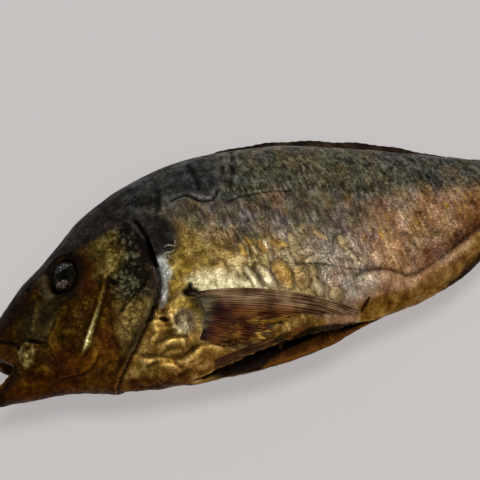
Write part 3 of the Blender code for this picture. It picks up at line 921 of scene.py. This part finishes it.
def edge_fin(name, skin, span, tall, end, count, slant):
    """The back or belly fin, folded down into a low ragged ridge along the edge of the body."""
    steps, edge, heights = outline(skin, end)

    def place(along, up):
        profile = smooth(along / 0.25) * smooth((1 - along) / 0.4)
        tips = 1 - 0.04 * (1 - ray_pattern(along, count)) * up
        x = span[0] + along * (span[1] - span[0])
        y = np.interp(x, steps, edge) + end * (up * (0.4 + tall * profile * tips) - 0.8)
        z = np.interp(x, steps, heights) + 0.5 * np.sin(along * count * 1.3) * up
        return np.stack([x + slant * up * profile, y, z], 1)

    thing = sheet(name, count * 6, 8, place, lambda along, up: ray_pattern(along, count), 0.7, 1.1)
    blacken(thing, 1.0)
    return thing


def tail():
    """The forked tail fin, its rays fanned from the root."""

    def rays(along, across):
        return ray_pattern(across, TAIL_RAYS)

    def place(along, across):
        share = 2 * across - 1
        index = np.floor(across * TAIL_RAYS)
        fork = 0.5 + 0.5 * np.abs(share) ** 1.3
        tips = 1 - 0.03 * (1 - rays(along, across)) + 0.02 * np.sin(index * 2.7)
        half = 13 + 20 * along**0.9
        x = along * (TAIL_LENGTH * fork * tips + 1.5)
        y = share * half + 0.4 * np.sin(index * 1.3 + along * 3) * along
        z = along * (0.5 * np.sin(index * 1.9) + 0.7 * np.sin(along * 4 + share * 3))
        return TAIL_ROOT + np.stack([x, y, z], 1)

    return sheet("tail_fin_rays", 60, TAIL_RAYS * 6, place, rays, 0.5, 1.3)


def eyeball(name, node, side):
    """A dried eyeball, shrunk in its socket and crinkled."""
    thing = copy_of(node, name)
    modify(thing, "SUBSURF", levels=2, render_levels=2)
    places, facing = on_fish(read(thing)), read(thing, "normal")
    spots, middle = places[:, :2], places.mean(0)
    _, half_length, half_width, direction = EYE_RIM
    rim = oval(spots, middle[:2], half_length - 0.4, half_width - 0.4, direction)
    shrunk = middle + (places - middle) * np.array((0.86, 0.86, 1.0))
    crinkle = 0.55 * lumps(places, 3.4, 21 + side, 3, (1, 1, 2)) + 0.2 * lumps(places, 1.2, 23, 2)
    crinkle -= 0.5 * smooth((0.5 - rim) / 0.5)
    front = smooth(side * facing[:, 2])
    write(thing, in_metres(shrunk + facing * (crinkle * front)[:, None]))
    store(thing, "rim", rim)
    ragged_edge = 0.5 * lumps(places, 1.6, 24)
    for attribute, (off, *shape) in (("cream", CREAM_PATCH), ("glint", GLINT_PATCH)):
        patch = oval(spots, middle[:2] + off, *shape) + ragged_edge
        store(thing, attribute, smooth((1.1 - patch) / 0.4))
    thing.data.shade_smooth()
    return thing


# Scraps of torn skin: path and width
SCRAPS = (
    (((73.4, 9.6), (74.6, 10.2), (76.0, 9.8), (77.3, 8.8), (78.4, 9.4)), 0.6),
    (((77.0, 9.2), (78.0, 10.3), (78.0, 11.4)), 0.5),
    (((71.9, 6.4), (73.4, 7.4), (75.0, 7.0), (76.8, 7.3)), 0.7),
    (((73.8, 6.9), (74.0, 5.2), (74.9, 3.6)), 0.5),
)
# The sprung spine's points, the last number being the height over the skin
SPINE = ((136.3, -34.0, 1.4), (138.4, -32.2, 2.2), (140.8, -30.2, 2.8))


def unit(rows):
    """Rows scaled to a length of 1."""
    return rows / np.linalg.norm(rows, axis=1)[:, None]


def strip(name, path, width, tree):
    """A scrap of torn skin that lies on the flank with its ends curled up."""
    middle = curve(path, 8)

    def place(along, across):
        run = along_path(along, unit(np.gradient(middle, axis=0)))
        aside = (across - 0.5) * width * np.sqrt(np.clip(4 * along * (1 - along), 0.15, 1))
        spots = along_path(along, middle) + np.stack([-run[:, 1], run[:, 0]], 1) * aside[:, None]
        return draped(tree, spots, 1, 0.45 + 0.3 * (2 * along - 1) ** 2)

    return sheet(name, 24, 6, place, lambda along, across: 1 - np.abs(2 * across - 1), 0.08, 0.25)


def tube(name, points, radii):
    """A closed tube with round ends through some points, with a radius at each, in millimetres."""
    bpy.ops.mesh.primitive_uv_sphere_add(segments=10, ring_count=24, radius=1)
    thing = named(bpy.context.object, name)
    ball = read(thing)
    share = np.arccos(np.clip(ball[:, 2], -1, 1)) / math.pi
    run = unit(along_path(share, np.gradient(points, axis=0)))
    aside = unit(np.cross(run, (0, 0, 1)))
    turned = aside * ball[:, :1] + np.cross(aside, run) * ball[:, 1:2]
    round_end = np.maximum(np.sin(math.pi * share), 0.05) ** -0.6
    radius = round_end * np.interp(share, np.linspace(0, 1, len(radii)), radii)
    write(thing, in_metres(along_path(share, points) + turned * radius[:, None]))
    thing.data.shade_smooth()
    return thing


def spine(tree):
    """The hard first spine of the folded fin, which has sprung up from the skin."""
    path = curve([draped(tree, [(x, y)], 1, [over])[0] for x, y, over in SPINE], 6)
    share = np.linspace(0, 1, len(path))
    thing = tube("sprung_spine", path, 0.75 - 0.25 * share + 0.06 * np.sin(share * 30))
    for attribute in ("along", "across"):
        store(thing, attribute, np.ones(len(thing.data.vertices)))
    return thing


# ---------------------------------------------------------------- materials

VARNISH_SPECULAR = 0.02  # the smoke's varnish is matt, and only the silver under it shines


def colour(code):
    """A linear colour from an sRGB hex value."""
    parts = [int(code[k : k + 2], 16) / 255 for k in (1, 3, 5)]
    return (*(part / 12.92 if part <= 0.04045 else ((part + 0.055) / 1.055) ** 2.4 for part in parts), 1.0)


def feed(node, inputs):
    """Sets or links a node's inputs, which are given by name or number."""
    for name, value in inputs.items():
        if isinstance(value, bpy.types.NodeSocket):
            node.id_data.links.new(value, node.inputs[name])
        else:
            node.inputs[name].default_value = value


def add(tree, kind, inputs=(), colours=(), places=None, out=0, **settings):
    """Adds a node with its settings, sets or links its inputs, and gives one of its outputs.

    The inputs are given by name or number, or in their order. A ramp's colours are evenly apart from 0 to 1
    where no places are given for them.
    """
    node = tree.nodes.new("ShaderNode" + kind)
    for name, value in settings.items():
        setattr(node, name, value)
    feed(node, inputs if isinstance(inputs, dict) else dict(enumerate(inputs)))
    if colours:
        points = node.color_ramp.elements
        while len(points) < len(colours):
            points.new(0.5)
        for point, place, code in zip(points, places or np.linspace(0, 1, len(colours)), colours):
            point.position = place
            point.color = colour(code)
    return node.outputs[out]


def new_material(name):
    """An empty material, its node tree and its Principled shader."""
    material = bpy.data.materials.new(name)
    material.use_nodes = True
    return material, material.node_tree, material.node_tree.nodes["Principled BSDF"]


# Each zone's colours in shade, in the middle and in the light, and how much of the scales' silver shines
# through it, from the bottom layer up
SKIN_ZONES = (
    ("copper", "#684428", "#aa7c58", "#deb48c", 0),
    ("rust", "#3e2210", "#784a26", "#ac7a48", 0),
    ("gold", "#36280a", "#6c561f", "#9e8642", 0.6),
    ("ground", "#5e4a26", "#947e50", "#c4b07e", 0),
    ("ashen", "#665a4a", "#9e8e7a", "#d4c8b2", 0),
    ("back", "#191b1a", "#3f413b", "#72726a", 0),
    ("belly", "#46300e", "#7a5b23", "#be9c58", 0.65),
    ("belly_low", "#482a0e", "#906226", "#dcac64", 0.5),
    ("root", "#362c1c", "#665a40", "#aa9e7c", 0.55),
    ("seam", "#2c1406", "#5a321a", "#9a663e", 0),
    ("dark_by_slit", "#1c0c04", "#472208", "#7a4616", 0),
    ("olive", "#40260a", "#7c541a", "#b68c3e", 0.5),
    # silvery skin, which also carries a painted highlight on the shoulder
    ("silver", "#7a6e4c", "#a89e78", "#cec6a8", 0.8),
    ("blister", "#462a04", "#77520b", "#a47e26", 0.45),
    ("pale", "#867a5a", "#a89c78", "#ccc2a6", 0),
    ("rims", "#2c1c0a", "#3e2a12", "#503a1e", 0),
    ("green_back", "#242417", "#55533c", "#918d6e", 0),
    ("nape", "#0e1011", "#272a2b", "#525554", 0),
    ("pink", "#5a3420", "#9a6c4a", "#cca07a", 0),
    ("flap", "#190b02", "#3c2004", "#5e380c", 0),
    ("belly_edge", "#180802", "#361803", "#623a0c", 0),
    ("head", "#170c01", "#2f1b02", "#5c430e", 0.3),
    ("speckle", "#0b0a07", "#211d12", "#5c573e", 0.3),
    ("margin", "#120804", "#2a180e", "#503a28", 0),
    ("crown_gold", "#261c08", "#5a4a1e", "#928044", 0.45),
    ("plate", "#140e05", "#2c220d", "#463a1a", 0),
    ("amber", "#1a0a01", "#3a1b02", "#5c3606", 0),
    ("tawny", "#261504", "#462a06", "#754c12", 0),
    ("bone", "#2a200a", "#5b4922", "#927e48", 0.6),
    ("russet", "#1c0a02", "#361704", "#563008", 0),
    ("lip", "#1c0c02", "#3e2206", "#5c3a0e", 0),
    ("maxilla", "#20160a", "#4a3a18", "#a08e54", 0.5),
    # the preopercle's ridge: a painted highlight
    ("ridge", "#867630", "#d4c46a", "#fffac6", 0.75),
    ("crown", "#0e0b0a", "#231e1b", "#423b37", 0),
    ("snout", "#0b0602", "#1a0d04", "#2c1a0a", 0),
    ("crescent", "#221b0e", "#40341f", "#5e5138", 0),
    ("blotch", "#0a0908", "#1d1a18", "#3c3834", 0),
    # pale strip behind the gill, partly a painted highlight
    ("cleithrum", "#5e6059", "#9a9b92", "#d4d6cc", 0),
)
# What the skin's patterns read from each of its points
SKIN_MARKS = (
    "streaks", "scales", "mottled", "puffy", "varied", "specks", "dashes", "crackle", "hollow", "shelter",
    "soot_and_shade", "metal",
)


def smoked_skin():
    """Skin of a fish that was brined, dried and hot-smoked.

    Smoke lays a thin brown varnish over the silver of the scales, which gives the dull golden shine.
    Painted shade darkens its folds and hollows, and a painted highlight lightens what stands out.
    """
    material, tree, shader = new_material("smoked_skin")
    place = add(tree, "TexCoord", out="Object")
    share = {name: add(tree, "Attribute", out="Fac", attribute_name=name) for name in SKIN_MARKS}
    wander = add(tree, "TexNoise", {"Vector": place, "Scale": 1 / (6 * MM), "Detail": 3}, out="Color")
    wander = add(tree, "VectorMath", {0: wander, "Scale": 6 * MM}, operation="SCALE")
    astray = add(tree, "VectorMath", (place, wander))
    slightly = add(tree, "VectorMath", {0: wander, "Scale": 0.35}, operation="SCALE")
    slightly = add(tree, "VectorMath", (place, slightly))

    # The grids that patterns are drawn on: where they start from, their turn, and the millimetres of a cell
    # along the fish, up it and through it
    grid = {}
    for name, start, turn, cell in (
        ("streaks", slightly, -0.12, (1.1, 4.2, 2)),
        ("scales", place, 0.6, (2.1, 1.3, 1.5)),
        ("patches", astray, -0.2, (8, 14, 10)),
        ("flecks", astray, -0.3, (2.2, 5, 3)),
        ("rows", place, -0.45, (3, 6.6, 4)),
        ("wrinkles", astray, -0.15, (4.8, 16, 10)),
        ("tangle", astray, 0.5, (7.5, 3.6, 6)),
    ):
        scale = [1 / (size * MM) for size in cell]
        grid[name] = add(tree, "Mapping", {"Vector": start, "Rotation": (0, 0, turn), "Scale": scale})

    # The tone, from shade to light: mottling and upright streaks all over, and rows of scales on the flanks
    inputs = {"Vector": place, "Scale": 1 / (5.5 * MM), "Detail": 7, "Roughness": 0.62}
    mottle = add(tree, "TexNoise", inputs)
    streaks = add(tree, "TexNoise", {"Vector": grid["streaks"], "Scale": 1, "Detail": 3, "Roughness": 0.6})
    scales = add(tree, "TexVoronoi", {"Vector": grid["scales"], "Scale": 1, "Randomness": 0.6})
    blobs = add(tree, "TexVoronoi", {"Vector": astray, "Scale": 1 / (1.9 * MM), "Randomness": 0.9})
    grain = add(tree, "TexNoise", {"Vector": place, "Scale": 1 / (0.8 * MM), "Detail": 3, "Roughness": 0.6})
    tone = add(tree, "MapRange", (mottle, 0, 1, 0.15, 0.85))
    for pattern, strength, amount in (
        (streaks, 0.7, share["streaks"]),
        (scales, -0.22, share["scales"]),
        (blobs, -0.4, share["mottled"]),
        # painted shade in hollows and a painted highlight on crests, stronger on the puffy skin
        (share["hollow"], -0.2, share["puffy"]),
        (share["hollow"], -0.3, 1.0),
        (grain, 0.35, 1.0),
    ):
        centred = add(tree, "Math", (pattern, 0.5), operation="SUBTRACT")
        scaled = add(tree, "Math", (centred, strength), operation="MULTIPLY")
        tone = add(tree, "Math", (scaled, amount, tone), operation="MULTIPLY_ADD")
    tone = add(tree, "MapRange", (tone, 0.32, 0.68))

    layers = [
        (add(tree, "Attribute", out="Fac", attribute_name=name), shades) for name, *shades, _ in SKIN_ZONES
    ]
    # Broad upright patches where the smoke took differently: lilac grey, olive and tan
    inputs = {"Vector": grid["patches"], "Scale": 1, "Detail": 4, "Roughness": 0.55}
    patches = add(tree, "SeparateColor", (add(tree, "TexNoise", inputs, out="Color"),)).node.outputs
    for channel, shades in (
        ("Red", ("#3c3638", "#756c70", "#b4aaac")),
        ("Green", ("#2e2a14", "#66602e", "#a49c5c")),
        ("Blue", ("#40280f", "#8a6234", "#c89c66")),
    ):
        patch = add(tree, "MapRange", (patches[channel], 0.48, 0.66, 0, 0.45))
        layers.append((add(tree, "Math", (patch, share["varied"]), operation="MULTIPLY"), shades))
    # Flecks of golden and olive skin between the streaks
    fleck = add(tree, "TexNoise", {"Vector": grid["flecks"], "Scale": 1, "Detail": 4})
    least = add(tree, "MapRange", (share["specks"], 0, 1, 0.66, 0.53))
    fleck = add(tree, "Math", (fleck, least), operation="SUBTRACT")
    fleck = add(tree, "MapRange", (fleck, 0, 0.12, 0, 0.6))
    fleck = add(tree, "Math", (fleck, share["streaks"]), operation="MULTIPLY")
    layers.append((fleck, ("#3c331a", "#6e6236", "#a09456")))
    # Rows of small golden dashes where scales have come away
    rows = add(tree, "TexVoronoi", {"Vector": grid["rows"], "Scale": 1, "Randomness": 0.55})
    chance = add(tree, "SeparateColor", (rows.node.outputs["Color"],))
    chance = add(tree, "MapRange", (chance, 0.25, 0.4))
    dash = add(tree, "MapRange", (rows, 0.2, 0.34, 0.9, 0))
    dash = add(tree, "Math", (dash, chance), operation="MULTIPLY")
    dash = add(tree, "Math", (dash, share["dashes"]), operation="MULTIPLY")
    layers.append((dash, ("#7a5410", "#a87c28", "#d4ac58")))
    base = add(tree, "ValToRGB", (tone,), ("#31291f", "#554b3d", "#7f735d"))
    for amount, shades in layers:
        shades = add(tree, "ValToRGB", (tone,), shades)
        base = add(tree, "Mix", {0: amount, 6: base, 7: shades}, out=2, data_type="RGBA")

    # Fine dark cracks: upright ones over the flanks and a tangle of them over the belly
    cracks = 0.0
    for name, width, most, amount in (("wrinkles", 0.06, 0.55, "streaks"), ("tangle", 0.07, 1, "crackle")):
        line = add(tree, "TexVoronoi", {"Vector": grid[name], "Scale": 1}, feature="DISTANCE_TO_EDGE")
        line = add(tree, "MapRange", (line, 0, width, most, 0))
        line = add(tree, "Math", (line, share[amount]), operation="MULTIPLY")
        cracks = add(tree, "Math", (cracks, line), operation="MAXIMUM")
    broken = add(tree, "MapRange", (mottle, 0.42, 0.58))
    cracks = add(tree, "Math", (cracks, broken), operation="MULTIPLY")

    # Dark cracks, soot and painted shade in hollows and nooks, and a painted highlight on what stands out
    for value, start, end, most, code in (
        (cracks, 0, 1, 0.8, "#17130e"),
        (share["hollow"], 0.58, 0.98, 0.45, "#1c0e04"),
        (share["shelter"], 0.3, 0.62, 0.96, "#0b0502"),
        (share["soot_and_shade"], 0, 1, 0.95, "#0a0604"),
    ):
        dark = add(tree, "MapRange", (value, start, end, 0, most))
        base = add(tree, "Mix", {0: dark, 6: base, 7: colour(code)}, out=2, data_type="RGBA")
    crest_highlight = add(tree, "MapRange", (share["hollow"], 0.15, 0.5, 1.3, 1))
    base = add(tree, "VectorMath", {0: base, "Scale": crest_highlight}, operation="SCALE")

    clean = add(tree, "Math", (1.0, share["soot_and_shade"]), operation="SUBTRACT")
    normal = None
    for pattern, amount, strength, depth, invert in (
        (streaks, share["streaks"], 0.45, 0.7, False),
        (scales, share["scales"], 0.4, 0.4, True),
        (blobs, share["mottled"], 0.5, 0.5, True),
        (cracks, 1.0, 0.5, 0.4, True),
        (grain, 1.0, 0.4, 0.5, False),
    ):
        height = add(tree, "Math", (pattern, amount), operation="MULTIPLY")
        inputs = {"Height": height, "Strength": strength, "Distance": depth * MM}
        if normal:
            inputs["Normal"] = normal
        normal = add(tree, "Bump", inputs, invert=invert)
    feed(
        shader,
        {
            "Base Color": base,
            "Metallic": add(tree, "Math", (share["metal"], clean), operation="MULTIPLY"),
            "Roughness": add(tree, "MapRange", (mottle, 0.35, 0.65, 0.5, 0.3)),
            "Specular IOR Level": VARNISH_SPECULAR,
            "Normal": normal,
        },
    )
    return material


def fin_material():
    """Smoked fin: hard tan rays with dark glassy membrane between them, blackened at the root."""
    material, tree, shader = new_material("fin")
    place = add(tree, "TexCoord", out="Object")
    names = ("ray", "along", "across", "soot_and_shade")
    ray, along, across, soot_and_shade = (add(tree, "Attribute", out="Fac", attribute_name=name) for name in names)
    sheet = add(tree, "CombineXYZ", (along, across))
    fibre = add(tree, "Mapping", {"Vector": sheet, "Scale": (3.5, 130, 1)})
    fibre = add(tree, "TexNoise", {"Vector": fibre, "Scale": 1, "Detail": 3})
    mottle = add(tree, "TexNoise", {"Vector": place, "Scale": 1 / (8 * MM), "Detail": 3})
    tone = add(tree, "Math", (mottle, fibre), operation="ADD")
    tone = add(tree, "MapRange", (tone, 0.78, 1.22))

    purple = add(tree, "MapRange", (along, 0.15, 0.45, 0.75, 0))
    # The hard rays: the front ones, past the root, along their crests
    hard = 1.0
    for limits in ((across, 0.3, 0.46, 1, 0.1), (along, 0.05, 0.3, 0.3, 1), (ray, 0.15, 0.75, 0, 1)):
        hard = add(tree, "Math", (hard, add(tree, "MapRange", limits)), operation="MULTIPLY")
    # Belly gold that shows through the torn far half of the fin
    torn = add(tree, "Mapping", {"Vector": sheet, "Scale": (6, 9, 1)})
    torn = add(tree, "TexNoise", {"Vector": torn, "Scale": 1, "Detail": 4, "Roughness": 0.6})
    torn = add(tree, "MapRange", (torn, 0.5, 0.6, 0, 0.85))
    for limits in ((along, 0.35, 0.7), (across, 0.44, 0.6)):
        torn = add(tree, "Math", (torn, add(tree, "MapRange", limits)), operation="MULTIPLY")
    # The scaly root, of fine pale fibres that run out among the rays
    root = add(tree, "Math", (fibre, 0.4, along), operation="MULTIPLY_ADD")
    root = add(tree, "MapRange", (root, 0.27, 0.37, 0.92, 0))
    base = add(tree, "ValToRGB", (tone,), ("#160502", "#3a1604", "#743a0c"))
    for amount, shades, places in (
        (purple, ("#140406", "#300f10", "#5c2618"), None),
        (hard, ("#3c2614", "#785a3c", "#b89a74"), None),
        (torn, ("#4a300a", "#8c661e", "#c4a04a"), None),
        (root, ("#0c0906", "#2e281a", "#786f52"), (0.15, 0.5, 0.9)),
        (soot_and_shade, ("#0c0703", "#22160d", "#463524"), None),
    ):
        shades = add(tree, "ValToRGB", (tone,), shades, places)
        base = add(tree, "Mix", {0: amount, 6: base, 7: shades}, out=2, data_type="RGBA")
    bump = add(tree, "Bump", {"Height": fibre, "Strength": 0.5, "Distance": 0.3 * MM})
    feed(shader, {"Base Color": base, "Roughness": 0.4, "Specular IOR Level": 0.04, "Normal": bump})
    return material


def eye_material():
    """Dried eye: a near-black lens in a shrivelled iris with a cream patch, and glints painted on its top.
    """
    material, tree, shader = new_material("dried_eye")
    place = add(tree, "TexCoord", out="Object")
    names = ("rim", "cream", "glint")
    rim, cream, glint = (add(tree, "Attribute", out="Fac", attribute_name=name) for name in names)
    inputs = {"Vector": place, "Roughness": 0.6}
    mottle = add(tree, "TexNoise", inputs | {"Scale": 1 / (2.2 * MM), "Detail": 5})
    fine = add(tree, "TexNoise", inputs | {"Scale": 1 / (0.9 * MM), "Detail": 3})
    ring = add(tree, "Math", (rim, add(tree, "MapRange", (mottle, 0, 1, -0.45, 0.45))), operation="ADD")
    rings = ("#060704", "#10100a", "#241c10", "#120b05", "#050302")
    base = add(tree, "ValToRGB", (ring,), rings, (0, 0.55, 0.74, 0.84, 1))
    # Grey glints painted on the eye's upper part, which is metallic there
    painted_glints = add(tree, "Math", (add(tree, "MapRange", (fine, 0.48, 0.54)), glint), operation="MULTIPLY")
    dry = add(tree, "ValToRGB", (fine,), ("#120d08", "#4e4034", "#8c7c70"), (0.4, 0.5, 0.62))
    for amount, shade in ((cream, dry), (painted_glints, colour("#767b80"))):
        base = add(tree, "Mix", {0: amount, 6: base, 7: shade}, out=2, data_type="RGBA")
    bump = add(tree, "Bump", {"Height": mottle, "Strength": 1.0, "Distance": 1.2 * MM})
    inputs = {"Base Color": base, "Metallic": painted_glints, "Roughness": 0.25, "Normal": bump}
    feed(shader, inputs | {"Specular IOR Level": VARNISH_SPECULAR})
    return material


def scrap_material():
    """Torn scales: thin, dry and cream, mottled with brown."""
    material, tree, shader = new_material("torn_scales")
    place = add(tree, "TexCoord", out="Object")
    mottle = add(tree, "TexNoise", {"Vector": place, "Scale": 1 / (1.2 * MM), "Detail": 4})
    base = add(tree, "ValToRGB", (mottle,), ("#4a3c26", "#857860", "#bcb2a0"), (0.3, 0.5, 0.7))
    feed(shader, {"Base Color": base, "Roughness": 0.5})
    return material


def table_top():
    """A plain pale table whose glow is painted light, which leaves only a faint shadow under the fish."""
    material, _, shader = new_material("table_top")
    feed(
        shader,
        {
            "Base Color": colour("#8b8887"),
            "Roughness": 0.9,
            "Specular IOR Level": 0.0,
            # painted light: the table's glow lifts the shadow under the fish
            "Emission Color": colour("#c6c2c1"),
            "Emission Strength": 0.65,
        },
    )
    return material


# ---------------------------------------------------------------- the set

# Soft round lamps: direction from the fish, width in metres, power in watts
LAMPS = (("overhead", (0.13, 0.03, 0.99), 0.5, 7.2), ("front", (-0.12, -0.6, 0.79), 0.5, 2.0))
LAMP_AIM = (95, -8, 30)
LAMP_AWAY = 1.1
CAMERA_AIM = (105.3, 13.6, 20)
CAMERA_AWAY = 0.452
# Above the belly and a little towards the head, in degrees from the x axis and from the table
CAMERA_WAY = (-110, 60)
CAMERA_LENS = 85
SKY_STRENGTH = 0.15


def placed(data, aim, way, away):
    """A new lamp or camera that looks at a place from some metres away."""
    thing = bpy.data.objects.new(data.name, data)
    bpy.context.scene.collection.objects.link(thing)
    thing.location = Vector(in_metres(aim)) + way * away
    thing.rotation_euler = way.to_track_quat("Z", "Y").to_euler()
    return thing


def make_stage():
    bpy.ops.mesh.primitive_plane_add(size=6, location=(0, 0, 0))
    table = named(bpy.context.object, "table")
    table.data.materials.append(table_top())

    world = bpy.data.worlds.new("studio")
    bpy.context.scene.world = world
    world.use_nodes = True
    feed(world.node_tree.nodes["Background"], {"Color": colour("#ffffff"), "Strength": SKY_STRENGTH})
    for name, way, size, energy in LAMPS:
        lamp = bpy.data.lights.new(name, "AREA")
        lamp.shape = "DISK"
        lamp.size = size
        lamp.energy = energy
        placed(lamp, LAMP_AIM, Vector(way).normalized(), LAMP_AWAY)


def make_camera():
    camera = placed(bpy.data.cameras.new("camera"), CAMERA_AIM, towards(*CAMERA_WAY), CAMERA_AWAY)
    camera.data.lens = CAMERA_LENS
    camera.data.sensor_width = 36
    camera.data.clip_start = 0.01
    bpy.context.scene.camera = camera


def keep(thing, material, slot, *nodes):
    """Finishes a piece: its material, the body it rides on and the CAD nodes it stands for; slot is not
    used.
    """
    thing.data.materials.clear()
    thing.data.materials.append(material)
    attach(thing, "root")
    if nodes:
        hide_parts(*nodes)


def main():
    bpy.ops.object.select_all(action="DESELECT")
    bpy.context.scene.view_settings.view_transform = "Standard"
    make_camera()
    make_stage()
    skin, tree = sculpted_skin()
    skin_finish, fin_finish, eye_finish = smoked_skin(), fin_material(), eye_material()
    keep(skin, skin_finish, "smoked_skin", "body")
    for name, side in (("left", 1), ("right", -1)):
        for kind, *shape in FOLDED_FINS:
            fin = folded_fin(f"{kind}_rays_{name}", side, tree, *shape)
            keep(fin, fin_finish, "fin", f"{kind}_fin_{name}")
        keep(eyeball("eyeball_" + name, "eye_" + name, side), eye_finish, "dried_eye", "eye_" + name)
    for name, node, *shape in EDGE_FINS:
        keep(edge_fin(name, skin, *shape), fin_finish, "fin", node)
    keep(tail(), fin_finish, "fin", "tail_fin")
    torn = scrap_material()
    for k, (path, width) in enumerate(SCRAPS):
        keep(strip("torn_scales_" + str(k + 1), path, width, tree), torn, "smoked_skin")
    keep(spine(tree), fin_finish, "fin")


main()
